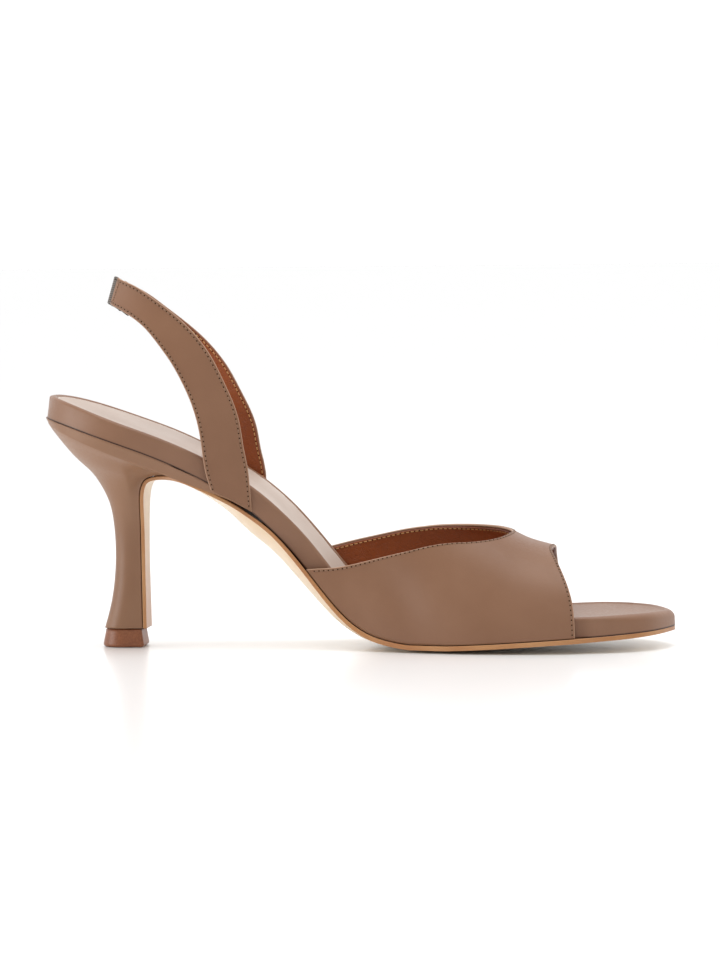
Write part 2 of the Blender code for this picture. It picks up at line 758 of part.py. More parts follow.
def build_elastic(edges, home):
    """The elastic behind the two ends of the straps, a gap inside them."""
    loop = np.linspace(ELASTIC_FROM_SHARE, 2 - ELASTIC_FROM_SHARE, ELASTIC_ROWS)
    free = np.clip(1 - np.abs(loop - 1) / (1 - STRAP_END_SHARE), 0, 1)
    inward = STRAP_WALL / 2 + GAP + ELASTIC_WALL / 2 - ELASTIC_BULGE * np.sin(free * np.pi / 2)
    sheet = sling_sheet(edges, ELASTIC_FROM_SHARE, 2 - ELASTIC_FROM_SHARE, ELASTIC_ROWS, ELASTIC_DROP, inward)
    piece = mesh_object(
        "strap_elastic", sheet.reshape(-1, 3), grid_faces(*sheet.shape[:2]), DARK_ELASTIC, 0.8, home
    )
    wall = piece.modifiers.new("wall", "SOLIDIFY")
    wall.thickness = ELASTIC_WALL
    wall.offset = 0.0
    return piece


def main():
    for old in list(bpy.data.objects):
        bpy.data.objects.remove(old)
    home = bpy.data.collections.new("slingback_sandal")
    bpy.context.scene.collection.children.link(home)
    build_outsole(home)
    build_insole(home)
    build_vamp(home)
    edges = sling_splines()
    build_strap("strap_medial", edges, 0.0, STRAP_END_SHARE, home)
    build_strap("strap_lateral", edges, 2 - STRAP_END_SHARE, 2.0, home)
    build_elastic(edges, home)
    build_heel(home)
    build_top_piece(home)


main()
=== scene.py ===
import math

import bpy
import numpy as np
from mathutils import Matrix, Vector


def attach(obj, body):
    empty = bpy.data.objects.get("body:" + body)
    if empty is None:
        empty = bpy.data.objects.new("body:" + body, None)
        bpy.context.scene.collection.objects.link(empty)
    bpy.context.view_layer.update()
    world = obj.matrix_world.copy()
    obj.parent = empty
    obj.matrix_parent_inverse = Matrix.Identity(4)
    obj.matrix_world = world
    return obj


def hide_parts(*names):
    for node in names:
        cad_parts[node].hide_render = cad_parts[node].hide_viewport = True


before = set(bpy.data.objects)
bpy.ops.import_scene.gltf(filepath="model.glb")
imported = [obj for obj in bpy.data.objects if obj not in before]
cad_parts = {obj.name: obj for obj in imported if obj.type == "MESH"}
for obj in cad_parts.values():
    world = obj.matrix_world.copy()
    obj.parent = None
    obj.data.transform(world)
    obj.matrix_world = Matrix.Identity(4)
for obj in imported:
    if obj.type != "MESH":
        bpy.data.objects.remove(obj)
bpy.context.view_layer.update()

# A left slingback sandal with an open toe on a tall covered heel. The shapes are worked out from the
# same named sizes and tables as the part's source, more finely, in metres, in the part's own frame.

# Sizes of the whole shoe
SHOE_LENGTH = 0.2215
BALL_WIDTH = 0.076
SEAT_HEIGHT = 0.0815
TOE_SPRING = 0.0045
GAP = 0.0003
REST_SHARE = 0.6184

# Footbed and outsole
INSOLE_THICK = 0.0070
INSOLE_ROUND = 0.0011
INSOLE_HEM = 0.0003
SEAM_CLOSE = 0.0003
INSOLE_DISH = 0.0012
BED_BELLY = 0.0028
SOCK_THICK = 0.0006
SOCK_INSET = 0.0022
SOCK_BED = 0.0004
SOCK_SINK = 0.00045
RIM_RUN = 0.0016
SOCK_FRONT = 0.74
TOE_ROUND = 0.0026
OUTSOLE_THICK = 0.0025
OUTSOLE_EDGE = 0.0017
WAIST_EDGE = 0.0013
WAIST_CROWN = 0.0026
OUTSOLE_PROUD = 0.0003
OUTSOLE_HEM = 0.0003

# Vamp
VAMP_WALL = 0.0018
VAMP_PROUD = 0.0009
VAMP_ROOM = 0.0004
VAMP_SKIN = 0.0010
VAMP_LINING_GAP = 0.00003
VAMP_LINING_IN = 0.0007
CROWN_HEIGHT = 0.479 * BALL_WIDTH
THROAT_HEIGHT = 0.530 * BALL_WIDTH
RIDGE_SHIFT = -0.0395 * BALL_WIDTH
SECTION_POWER = 2.4

# Slingback
STRAP_WALL = 0.0015
STRAP_SKIN = 0.00078
STRAP_LINING_GAP = 0.00002
STRAP_LINING_IN = 0.0003
FOOT_ROOM = 0.0001
STRAP_FOOT_AT = 0.3409 * SHOE_LENGTH
STRAP_REACH = 0.2334 * SHOE_LENGTH
STRAP_RISE = 1.016 * SEAT_HEIGHT
STRAP_FOOT_HEIGHT = 0.5963 * SEAT_HEIGHT
MEDIAL_SPREAD = 0.3342 * BALL_WIDTH
LATERAL_SPREAD = 0.3447 * BALL_WIDTH
LATERAL_SAG = 0.0055
STRAP_END = 0.945
ELASTIC_WALL = 0.0012
ELASTIC_DROP = 0.0009
ELASTIC_BULGE = 0.0024
ELASTIC_FROM = 0.900

# Heel
BREAST_AT = 0.1499 * SHOE_LENGTH
LIP_REACH = 0.1806 * SHOE_LENGTH
HEEL_DEPTH = 0.1558 * SHOE_LENGTH
ARCH_HEIGHT = 0.7485 * SEAT_HEIGHT
STEM_HALF = 0.0803 * BALL_WIDTH
HEEL_PROUD = 0.0004
TOP_PIECE_FLARE = 0.0009
TOP_PIECE_STEP = 0.0004
TOP_PIECE_HIGH = 0.0761 * SEAT_HEIGHT

# Stitching: thread and pitch as on fine dress shoes, about 15 to the inch, and a stitch's share of its pitch.
# The rows on the lining lie a little further in, with their own lift and hole radius
STITCH_PITCH = 0.0017
STITCH_IN = 0.0010
STITCH_SHARE = 0.80
THREAD = 0.00042
LINING_STITCH_IN = 0.0016
LINING_STITCH = (0.00012, 0.00022)

# The bed, seen from the side: how far along, share of the heel's rise, share of the toe spring
BED = (
    ("along", "rise", "spring"),
    (0.000, 1.000, 0.00),
    (0.032, 0.979, 0.00),
    (0.090, 0.927, 0.00),
    (0.180, 0.836, 0.00),
    (0.260, 0.729, 0.00),
    (0.300, 0.662, 0.00),
    (0.340, 0.577, 0.00),
    (0.400, 0.404, 0.00),
    (0.440, 0.262, 0.00),
    (0.480, 0.130, 0.00),
    (0.520, 0.047, 0.00),
    (0.560, 0.012, 0.00),
    (0.590, 0.000, 0.00),
    (0.650, 0.000, 0.00),
    (0.730, 0.000, 0.20),
    (0.840, 0.000, 0.53),
    (0.920, 0.000, 0.76),
    (1.000, 0.000, 1.00),
)

# The outline, seen from above: how far along, then both half widths as shares of the ball width
OUTLINE = (
    ("along", "medial", "lateral"),
    (0.000, 0.000, 0.000),
    (0.032, 0.226, 0.226),
    (0.068, 0.302, 0.302),
    (0.104, 0.340, 0.338),
    (0.167, 0.347, 0.347),
    (0.230, 0.317, 0.322),
    (0.297, 0.282, 0.296),
    (0.365, 0.260, 0.279),
    (0.420, 0.255, 0.284),
    (0.478, 0.279, 0.329),
    (0.545, 0.342, 0.402),
    (0.617, 0.420, 0.474),
    (0.685, 0.474, 0.508),
    (0.748, 0.495, 0.504),
    (0.806, 0.493, 0.480),
    (0.860, 0.470, 0.434),
    (0.914, 0.418, 0.363),
    (0.950, 0.355, 0.276),
    (0.978, 0.255, 0.155),
    (0.993, 0.150, 0.040),
    (1.000, 0.055, -0.055),
)

# How the bed changes along the shoe, as shares of the named thicknesses
BED_CHANGE = (
    ("along", "insole", "belly", "outsole", "crown"),
    (0.00, 1.14, 0.00, 0.00, 0.0),
    (0.05, 1.07, 0.00, 0.00, 0.3),
    (0.13, 1.00, 0.00, 0.00, 0.8),
    (0.348, 1.00, 0.00, 0.00, 1.0),
    (0.37, 1.00, 0.45, 0.00, 0.95),
    (0.42, 1.00, 1.00, 0.05, 0.75),
    (0.48, 1.00, 0.90, 0.45, 0.52),
    (0.53, 1.00, 0.40, 0.90, 0.40),
    (0.57, 1.00, 0.00, 1.00, 0.35),
    (0.75, 1.00, 0.00, 1.00, 0.35),
    (0.86, 1.00, 0.00, 0.95, 0.25),
    (0.93, 0.93, 0.00, 0.80, 0.12),
    (0.97, 0.86, 0.00, 0.50, 0.0),
    (1.00, 0.76, 0.00, 0.00, 0.0),
)

# How much deeper the waist's underside bows where it runs over the heel's lip, in metres
WAIST_BOW = (
    ("along", "depth"),
    (0.200, 0.0000),
    (0.250, 0.0001),
    (0.280, 0.0006),
    (0.310, 0.0018),
    (0.335, 0.0027),
    (0.355, 0.0029),
    (0.375, 0.0021),
    (0.400, 0.0010),
    (0.430, 0.0003),
    (0.460, 0.0000),
)

# The last above the bed where the vamp lies, as shares of the crown height at the throat
CROWN = (
    ("along", "crown"),
    (0.387, 2.09),
    (0.500, 1.81),
    (0.590, 1.52),
    (0.653, 1.32),
    (0.703, 1.14),
    (0.743, 1.00),
    (0.761, 0.937),
    (0.779, 0.890),
    (0.802, 0.843),
    (0.838, 0.770),
    (0.865, 0.720),
)

# The topline from the side, as shares of the throat's height over the floor
MEDIAL_TOPLINE = (
    ("along", "height"),
    (0.423, 0.703),
    (0.446, 0.710),
    (0.466, 0.718),
    (0.493, 0.744),
    (0.526, 0.790),
    (0.558, 0.834),
    (0.590, 0.876),
    (0.622, 0.918),
    (0.653, 0.944),
    (0.685, 0.951),
    (0.712, 0.962),
    (0.730, 0.978),
    (0.743, 1.000),
)
LATERAL_TOPLINE = (
    ("along", "height"),
    (0.410, 0.797),
    (0.441, 0.834),
    (0.468, 0.871),
    (0.516, 0.928),
    (0.548, 0.965),
    (0.580, 0.993),
    (0.612, 1.010),
    (0.637, 1.016),
    (0.678, 1.020),
    (0.712, 1.018),
    (0.730, 1.010),
    (0.743, 1.000),
)

# The vamp's front edge: share of the way over from the medial to the lateral side
FRONT_EDGE = (
    ("turn", "along"),
    (0.00, 0.853),
    (0.12, 0.849),
    (0.20, 0.841),
    (0.28, 0.830),
    (0.38, 0.816),
    (0.46, 0.809),
    (0.54, 0.810),
    (0.64, 0.807),
    (0.80, 0.806),
    (1.00, 0.816),
)

# One half of the slingback, from the insole's side to the middle of the back: both edges, as shares of
# its reach, rise and spread
SLING = (
    ("share", "back_x", "back_z", "front_x", "front_z", "back_y", "front_y"),
    (0.000, 0.278, 0.096, 0.008, 0.000, 0.975, 0.862),
    (0.085, 0.315, 0.179, 0.029, 0.178, 0.992, 0.868),
    (0.155, 0.333, 0.258, 0.054, 0.262, 0.998, 0.872),
    (0.240, 0.356, 0.355, 0.081, 0.372, 0.988, 0.872),
    (0.320, 0.397, 0.446, 0.126, 0.466, 0.960, 0.864),
    (0.405, 0.455, 0.530, 0.193, 0.560, 0.917, 0.848),
    (0.500, 0.532, 0.618, 0.280, 0.665, 0.862, 0.822),
    (0.585, 0.607, 0.684, 0.397, 0.760, 0.800, 0.778),
    (0.675, 0.712, 0.763, 0.542, 0.842, 0.700, 0.700),
    (0.775, 0.824, 0.820, 0.696, 0.911, 0.580, 0.600),
    (0.870, 0.922, 0.855, 0.826, 0.959, 0.445, 0.475),
    (0.945, 0.988, 0.874, 0.930, 0.987, 0.255, 0.285),
    (1.000, 1.015, 0.882, 0.960, 1.000, 0.000, 0.000),
)

# Soft troughs where the vamp's leather gives, as centre, lean from upright in degrees and sizes in metres
FOLDS = (
    ("x", "z", "side", "lean", "width", "length", "depth"),
    (-0.010, 0.0190, -1, 38, 0.0070, 0.015, 0.00130),
    (0.018, 0.0210, -1, 20, 0.0080, 0.015, 0.00060),
    (-0.004, 0.0230, 1, 35, 0.0060, 0.013, 0.00060),
    (0.022, 0.0200, 1, 12, 0.0070, 0.014, 0.00035),
)

# The heel from its base to its lip: the front follows the breast and the lip, the back its outer curve
HEEL = (
    ("front_x", "front_z", "front_half", "back_x", "back_z", "side_half"),
    (0.0075, 0.107, 1.07, 0.403, 0.107, 1.14),
    (0.0050, 0.230, 1.05, 0.342, 0.230, 1.10),
    (0.0025, 0.361, 1.00, 0.301, 0.361, 1.03),
    (0.0000, 0.508, 0.97, 0.281, 0.508, 1.00),
    (0.0000, 0.672, 1.03, 0.287, 0.664, 1.07),
    (0.0000, 0.803, 1.25, 0.325, 0.811, 1.31),
    (0.0075, 0.893, 1.48, 0.403, 0.918, 1.70),
    (0.0400, 0.957, 1.61, 0.507, 1.008, 2.30),
    (0.1125, 0.990, 1.77, 0.629, 1.075, 2.89),
    (0.2575, 1.000, 2.10, 0.742, 1.143, 3.38),
    (0.4450, 0.977, 2.66, 0.838, 1.211, 3.77),
    (0.6950, 0.908, 3.16, 0.919, 1.273, 4.07),
    (1.0000, 0.813, 3.38, 0.980, 1.330, 4.30),
)


# The shoe's own lines


def column(table, name):
    """One named column of a table, as an array."""
    place = table[0].index(name)
    return np.array([row[place] for row in table[1:]], float)


def spline(keys, values):
    """The natural cubic curve through the values: its bends at the keys solve one tridiagonal system."""
    count = len(keys)
    step = np.diff(keys)
    slope = np.diff(values) / step
    system = np.eye(count)
    known = np.zeros(count)
    inner = np.arange(1, count - 1)
    system[inner, inner - 1] = step[:-1]
    system[inner, inner] = 2 * (step[:-1] + step[1:])
    system[inner, inner + 1] = step[1:]
    known[inner] = 6 * np.diff(slope)
    bend = np.linalg.solve(system, known)

    def at(key):
        key = np.clip(np.asarray(key, float), keys[0], keys[-1])
        i = np.clip(np.searchsorted(keys, key) - 1, 0, count - 2)
        h = step[i]
        a = (keys[i + 1] - key) / h
        b = (key - keys[i]) / h
        curve = (a**3 - a) * bend[i] + (b**3 - b) * bend[i + 1]
        return a * values[i] + b * values[i + 1] + curve * h * h / 6

    return at


def turn_of(along):
    """Along the shoe as an angle share, so that the round ends get their points close together."""
    return np.arccos(1 - 2 * np.clip(along, 0.0, 1.0)) / np.pi


def curve(table, name, key="along"):
    """The curve through a column of a table, over its key."""
    return spline(column(table, key), column(table, name))


bed_rise, bed_spring = curve(BED, "rise"), curve(BED, "spring")
medial_share = spline(turn_of(column(OUTLINE, "along")), column(OUTLINE, "medial"))
lateral_share = spline(turn_of(column(OUTLINE, "along")), column(OUTLINE, "lateral"))
crown_share = curve(CROWN, "crown")
front_along = curve(FRONT_EDGE, "along", "turn")


def eased(share):
    """A share from 0 to 1 that starts and ends softly."""
    share = np.clip(share, 0, 1)
    return share * share * (3 - 2 * share)


def change(along, name):
    """A share that changes along the bed: straight between its rows, then averaged over 3% of the length."""
    keys, values = column(BED_CHANGE, "along"), column(BED_CHANGE, name)
    near = np.asarray(along)[..., None] + np.linspace(-0.015, 0.015, 9)
    return np.interp(near, keys, values).mean(-1)


def x_at(along):
    """The place along the floor of a share of the shoe's length."""
    return (along - REST_SHARE) * SHOE_LENGTH


def along_at(x):
    """The share of the shoe's length at a place along the floor."""
    return x / SHOE_LENGTH + REST_SHARE


def bed_height(along):
    """The underside of the insole over the floor, at the insole's edge."""
    flat = OUTSOLE_THICK + GAP
    rise = np.clip(bed_rise(along), 0.0, None) * (SEAT_HEIGHT - flat)
    return flat + rise + np.clip(bed_spring(along), 0.0, None) * TOE_SPRING


def bed_normal(along):
    """The unit normal of the bed seen from the side, as its x and z, from its slope over 4 parts in 1000."""
    reach = 0.002
    run = 2 * reach * SHOE_LENGTH
    drop = bed_height(along - reach) - bed_height(along + reach)
    size = np.hypot(run, drop)
    return drop / size, run / size


def half_widths(along):
    """The outline's half widths: to the medial side and to the lateral side."""
    turn = turn_of(along)
    return medial_share(turn) * BALL_WIDTH, lateral_share(turn) * BALL_WIDTH


def under_vamp(along):
    """From 0 to 1 where the vamp's wall lies against the insole."""
    wing, toe = 0.055, 0.030
    start = LATERAL_TOPLINE[1][0] - wing
    end = FRONT_EDGE[1][1] + toe
    return eased((along - start) / wing) * eased((end - along) / toe)


def unit(vectors):
    """Vectors at a length of one, along the last axis."""
    return vectors / np.maximum(np.linalg.norm(vectors, axis=-1, keepdims=True), 1e-12)


def stations(first, last, count):
    """Shares along the shoe, closer together near its round ends."""
    turns = np.linspace(turn_of(first), turn_of(last), count)
    return (1 - np.cos(np.pi * turns)) / 2


# Meshes


def in_scene(name, data):
    """An object of the data, put into the scene."""
    made = bpy.data.objects.new(name, data)
    bpy.context.scene.collection.objects.link(made)
    return made


def piece_of(name, points, faces, material, replaces=(), mask=None):
    """A finished piece: points and faces put into a mesh at the origin, smooth, facing outwards."""
    mesh = bpy.data.meshes.new(name)
    mesh.from_pydata(points.reshape(-1, 3).tolist(), [], faces)
    if mask is not None:
        layer = mesh.attributes.new("edge", "FLOAT", "POINT")
        layer.data.foreach_set("value", mask.reshape(-1).astype(np.float32))
    mesh.materials.append(material)
    mesh.shade_smooth()
    piece = in_scene(name, mesh)
    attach(piece, "root")
    for node in replaces:
        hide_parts(node)
    return piece


def wrapped_faces(rows, size, caps=True, flip=False):
    """Faces of a grid whose columns close on themselves, with one face over each end ring."""
    i, j = np.meshgrid(np.arange(rows - 1), np.arange(size), indexing="ij")
    k = (j + 1) % size
    quads = np.stack([i * size + j, i * size + k, (i + 1) * size + k, (i + 1) * size + j], -1).reshape(-1, 4)
    if flip:
        quads = quads[:, ::-1]
    faces = quads.tolist()
    if caps:
        first = list(range(size))
        last = list(range((rows - 1) * size, rows * size))
        faces += [first if flip else first[::-1], last[::-1] if flip else last]
    return faces


def outward(points, size):
    """True where a skin of closed rings already faces outwards: its signed volume is positive."""
    rings = points.reshape(-1, size, 3)
    a, b = rings[:-1], np.roll(rings[:-1], -1, 1)
    c, d = np.roll(rings[1:], -1, 1), rings[1:]
    return np.sum(a * np.cross(b, c)) + np.sum(a * np.cross(c, d)) > 0


def laces(base, size, flip):
    """Faces straight across a narrow ring, from each point to its partner on the other side."""
    half = size // 2
    rows = [(0, 1, size - 1)] + [(j, j + 1, size - j - 1, size - j) for j in range(1, half - 1)]
    rows.append((half - 1, half, half + 1))
    return [tuple(base + j for j in (row[::-1] if flip else row)) for row in rows]


def skin(name, rings, material, replaces=(), mask=None, laced=False):
    """A closed skin over rings of points, rows by ring by xyz, its ends flat or laced."""
    rows, size = rings.shape[:2]
    ends = np.concatenate([rings[:1].mean(1, keepdims=True), rings[-1:].mean(1, keepdims=True)])
    flip = not outward(rings - ends.mean((0, 1)), size)
    faces = wrapped_faces(rows, size, not laced, flip)
    if laced:
        faces += laces(0, size, not flip) + laces((rows - 1) * size, size, flip)
    return piece_of(name, rings, faces, material, replaces, mask)


def top_drop(across, full, sag, bed):
    """How far a slab's top lies below its rim: a parabola of depth sag, and a step down of depth bed that
    eases in over the rim's run."""
    share = np.clip(np.abs(across) / full, 0, 1)
    return sag * (1 - share**2) + bed * eased((1 - share) * full / RIM_RUN)


def slab_ring(half, thick, hem, sag_top, sag_bottom, steps=25, arc=7):
    """Slab sections for columns of half widths and thicknesses: the underside bowed down as a parabola, the
    side between two small arcs, and the top dished as a parabola. Gives across, high and the edge's marks."""
    hem = np.minimum(hem, np.minimum(half, thick) * 0.45)
    flat = np.sin(np.linspace(-1, 1, steps) * np.pi / 2)[None, :]
    turn = np.linspace(0, np.pi / 2, arc)[None, :]
    side_share = np.array([[0.03, 0.5]])
    low_x = flat * (half - hem)
    low_z = -sag_bottom * (1 - flat**2)
    right_x = [(half - hem + hem * np.sin(turn))[:, 1:], half + 0 * side_share, half - hem + hem * np.cos(turn)]
    side_z = hem + (thick - 2 * hem) * side_share
    right_z = [(hem - hem * np.cos(turn))[:, 1:], side_z, thick - hem + hem * np.sin(turn)]
    right_x, right_z = np.concatenate(right_x, 1), np.concatenate(right_z, 1)
    high_z = thick - sag_top * (1 - flat**2)
    across = np.concatenate([low_x, right_x, -low_x[:, 1:-1], -right_x[:, ::-1]], 1)
    height = np.concatenate([low_z, right_z, high_z[:, 1:-1], right_z[:, ::-1]], 1)
    edge = np.arange(across.shape[1]) >= steps
    return across, height, np.broadcast_to(edge, across.shape)


def sheet_normals(sheet, centre):
    """Unit normals of a grid of points: the cross product of its two slopes, turned away from a centre."""
    normal = unit(np.cross(np.gradient(sheet, axis=0), np.gradient(sheet, axis=1)))
    return normal if np.sum(normal * (sheet - centre)) > 0 else -normal


def wall_rings(sheet, normal, outer, inner, inset=0.0, arc=6):
    """Rings of a wall cut from a sheet. Each column of the sheet becomes one closed ring: the outer face,
    a half circle round its last edge, the inner face back and a half circle round its first edge.
    outer and inner are depths along the normal, inset how far both edges are drawn in."""
    radius = abs(outer - inner) / 2
    middle = (outer + inner) / 2
    run_first, run_last = unit(sheet[1] - sheet[0]), unit(sheet[-1] - sheet[-2])
    turn = np.linspace(0, np.pi, arc + 2)[:, None, None]
    body, body_normal = sheet[1:-1], normal[1:-1]
    first = sheet[0] + run_first * (radius + inset) + normal[0] * middle
    last = sheet[-1] - run_last * (radius + inset) + normal[-1] * middle
    up, out = np.cos(turn) * (1.0 if outer > inner else -1.0), np.sin(turn)
    round_last = last + radius * (up * normal[-1] + out * run_last)
    round_first = first - radius * (up * normal[0] + out * run_first)
    rings = [body + body_normal * outer, round_last, (body + body_normal * inner)[::-1], round_first]
    rings = np.swapaxes(np.concatenate(rings, 0), 0, 1)
    # The marks run from 0 on the faces to 1 at the rounded edge; on the nappa they carry its painted highlight.
    face, edge = np.zeros(len(body)), out[:, 0, 0]
    marks = np.concatenate([face, edge, face, edge])
    return rings, np.broadcast_to(marks, rings.shape[:2])


def wall(name, sheet, normal, depths, material, replaces=()):
    """A piece that is a wall cut from a sheet."""
    rings, mask = wall_rings(sheet, normal, *depths)
    skin(name, rings, material, replaces, mask)


# Materials


def linear(code, strength=1.0):
    """An sRGB hex value as linear red, green, blue and alpha."""
    parts = [int(code[i : i + 2], 16) / 255 for i in (1, 3, 5)]
    parts = [p / 12.92 if p <= 0.04045 else ((p + 0.055) / 1.055) ** 2.4 for p in parts]
    return tuple(p * strength for p in parts) + (1.0,)


def node(material, kind, links=(), **settings):
    """Adds a node with its settings and its links: (own socket, other node, other socket)."""
    tree = material.node_tree
    made = tree.nodes.new("ShaderNode" + kind)
    for name, value in settings.items():
        if name.startswith("in_"):
            key = name[3:].replace("_", " ")
            made.inputs[int(key) if key.isdigit() else key].default_value = value
        else:
            setattr(made, name, value)
    for own, other, out in links:
        tree.links.new(other.outputs[out], made.inputs[own])
    return made


def ramp(material, source, out, stops):
    """A colour ramp over a value, with its stops as (place, colour)."""
    made = node(material, "ValToRGB", [("Fac", source, out)])
    elements = made.color_ramp.elements
    while len(elements) < len(stops):
        elements.new(0.5)
    for element, (place, colour) in zip(elements, stops):
        element.position = place
        element.color = colour
    return made


def new_material(name, roughness, specular=0.5, coat=0.0, coat_roughness=0.3, sheen=0.0):
    """A Principled material with its constant sockets set, and its coordinates."""
    material = bpy.data.materials.new(name)
    material.use_nodes = True
    shader = material.node_tree.nodes["Principled BSDF"]
    names = ("Roughness", "Specular IOR Level", "Coat Weight", "Coat Roughness", "Sheen Weight")
    for socket, value in zip(names, (roughness, specular, coat, coat_roughness, sheen)):
        shader.inputs[socket].default_value = value
    return material, shader, node(material, "TexCoord")


def texture(material, place, kind, **settings):
    """A texture in the object's own coordinates."""
    return node(material, "Tex" + kind, [("Vector", place, "Object")], **settings)


def noise(material, place, scale, detail, roughness, **more):
    """Fractal noise, its scale in waves to the metre."""
    return texture(material, place, "Noise", in_Scale=scale, in_Detail=detail, in_Roughness=roughness, **more)


def raised(material, height, out, strength, depth, below=()):
    """A bump from a height, over the bump below it where there is one."""
    links = [("Height", height, out), *below]
    return node(material, "Bump", links, in_Strength=strength, in_Distance=depth)


def dressed(material, shader, colour, out, bump=None):
    """The material, once its colour and its bump are on its shader."""
    links = material.node_tree.links
    links.new(colour.outputs[out], shader.inputs["Base Color"])
    if bump:
        links.new(bump.outputs["Normal"], shader.inputs["Normal"])
    return material


def leather(name, base, dark, light, roughness, grain_mm, grain, specular=0.4, mottle=0.5, edge=None, crease=0.0):
    """Leather: a fine cell grain as bump, its colour mottled over centimetres, its marked edges in a colour of
    their own (on the nappa a painted highlight, on the footbed's cover painted shade) and, where asked, thin
    wandering creases."""
    material, shader, place = new_material(name, roughness, specular)
    size = 1000 / grain_mm
    cells = texture(material, place, "Voronoi", feature="SMOOTH_F1", in_Scale=size, in_Smoothness=0.4)
    pores = noise(material, place, 1000 / (grain_mm * 2.5), 4.0, 0.6)
    links = [(2, cells, "Distance"), (3, pores, "Fac")]
    mix = node(material, "Mix", links, data_type="FLOAT", in_Factor=0.5)
    bump = raised(material, mix, 0, grain, 0.00012)
    if crease:
        veins = noise(material, place, 420.0, 2.0, 0.5, in_Distortion=1.2)
        white, black = (1, 1, 1, 1), (0, 0, 0, 1)
        lines = ramp(material, veins, "Fac", [(0.44, white), (0.5, black), (0.56, white)])
        bump = raised(material, lines, "Color", crease, 0.00025, [("Normal", bump, "Normal")])
    patches = noise(material, place, 38.0, 3.0, 0.5)
    tone = ramp(material, patches, "Fac", [(0.30, linear(dark)), (0.5, linear(base)), (0.72, linear(light))])
    links = [(7, tone, "Color")]
    flat = node(material, "Mix", links, data_type="RGBA", in_6=linear(base), in_Factor=mottle)
    worn = node(
        material, "MapRange", [("Value", pores, "Fac")],
        in_1=0.3, in_2=0.7, in_3=roughness - 0.05, in_4=roughness + 0.07,
    )
    material.node_tree.links.new(worn.outputs["Result"], shader.inputs["Roughness"])
    # The marked edges take the edge colour: a painted highlight on the nappa, painted shade on the footbed's
    # cover.
    if edge:
        mark = node(material, "Attribute", attribute_name="edge")
        links = [("Factor", mark, "Fac"), (6, flat, 2)]
        flat = node(material, "Mix", links, data_type="RGBA", in_7=linear(edge))
    return dressed(material, shader, flat, 2, bump)


# Nappa: full-grain lambskin, drum dyed and lightly finished, which gives a soft satin with hardly any grain
# Its rounded, folded edges take the lighter edge colour, which is a painted highlight.
NAPPA = leather(
    "nappa_leather_taupe", "#845f47", "#7c5740", "#8d6850", 0.46, 0.45, 0.25, 0.32, edge="#b08d74"
)
# Footbed cover: the same nappa, stretched over the board's edge; its underside and hem are painted near black, as
# painted shade in the seam over the outsole
WRAP = leather(
    "nappa_leather_wrap", "#845f47", "#7c5740", "#8d6850", 0.42, 0.45, 0.18, 0.45, edge="#40261a"
)
# Heel cover: the same nappa, stretched tight over the block
HEEL_SKIN = leather("nappa_leather_heel_cover", "#89654c", "#825d45", "#926e55", 0.42, 0.45, 0.15, 0.36)
# Lining: vegetable-tanned cognac kid, glazed a little, with a clear crossing grain and fine creases
LINING = leather(
    "kid_lining_cognac", "#91491f", "#7c3b18", "#a4582c", 0.40, 0.8, 0.55, 0.4, edge="#7a4023", crease=0.5
)
# Sock lining: pale glove leather, matt, its cut edge lighter
SOCK = leather("sock_leather_pale", "#bcaa9e", "#ab988a", "#cbbeb4", 0.5, 0.6, 0.2, 0.3, 0.45, edge="#e9ddd3")


def sole_leather():
    """Vegetable-tanned sole bend: pale and smooth on its face, stained tan and burnished on its edge. The
    flap's face is stained darker towards the heel's tip."""
    material, shader, place = new_material("veg_tan_sole_leather", 0.38, 0.45, 0.15, 0.3)
    edge = node(material, "Attribute", attribute_name="edge")
    fibre = noise(material, place, 900.0, 3.0, 0.6)
    patches = noise(material, place, 60.0, 3.0, 0.5)
    parts = node(material, "SeparateXYZ", [("Vector", place, "Object")])
    fall = {"in_1": 0.012, "in_2": 0.050, "in_3": 1.0, "in_4": 0.0}
    low = node(material, "MapRange", [("Value", parts, "Z")], **fall)
    behind = node(material, "Math", [(0, parts, "X")], operation="LESS_THAN", in_1=-0.085)
    stained = node(material, "Math", [(0, low, "Result"), (1, behind, "Value")], operation="MULTIPLY")
    pale = ramp(material, patches, "Fac", [(0.3, linear("#d8bd9a")), (0.7, linear("#e4cfb2"))])
    links = [("Factor", stained, "Value"), (6, pale, "Color")]
    face = node(material, "Mix", links, data_type="RGBA", in_7=linear("#b98862"))
    rim = ramp(material, patches, "Fac", [(0.3, linear("#a2693c")), (0.7, linear("#b98859"))])
    links = [("Factor", edge, "Fac"), (6, face, 2), (7, rim, "Color")]
    both = node(material, "Mix", links, data_type="RGBA")
    return dressed(material, shader, both, 2, raised(material, fibre, "Fac", 0.12, 0.0001))


def tip_plastic():
    """Moulded thermoplastic urethane: brown, satin, with a faint moulding grain."""
    material, shader, place = new_material("moulded_urethane_brown", 0.42, 0.45)
    grit = noise(material, place, 1600.0, 2.0, 0.5)
    tone = ramp(material, grit, "Fac", [(0.35, linear("#7d4a2e")), (0.65, linear("#8c5637"))])
    return dressed(material, shader, tone, "Color", raised(material, grit, "Fac", 0.15, 0.0001))


def thread_material(name, colour):
    """Bonded polyester thread: a fine diagonal twist of strands about a sixth of a millimetre apart."""
    material, shader, place = new_material(name, 0.6, 0.3, sheen=0.15)
    twist = texture(material, place, "Wave", bands_direction="DIAGONAL", in_Scale=2200.0, in_Distortion=1.0)
    dark = tuple(c * 0.75 for c in linear(colour)[:3]) + (1.0,)
    return dressed(material, shader, ramp(material, twist, "Fac", [(0.2, dark), (0.7, linear(colour))]), "Color")


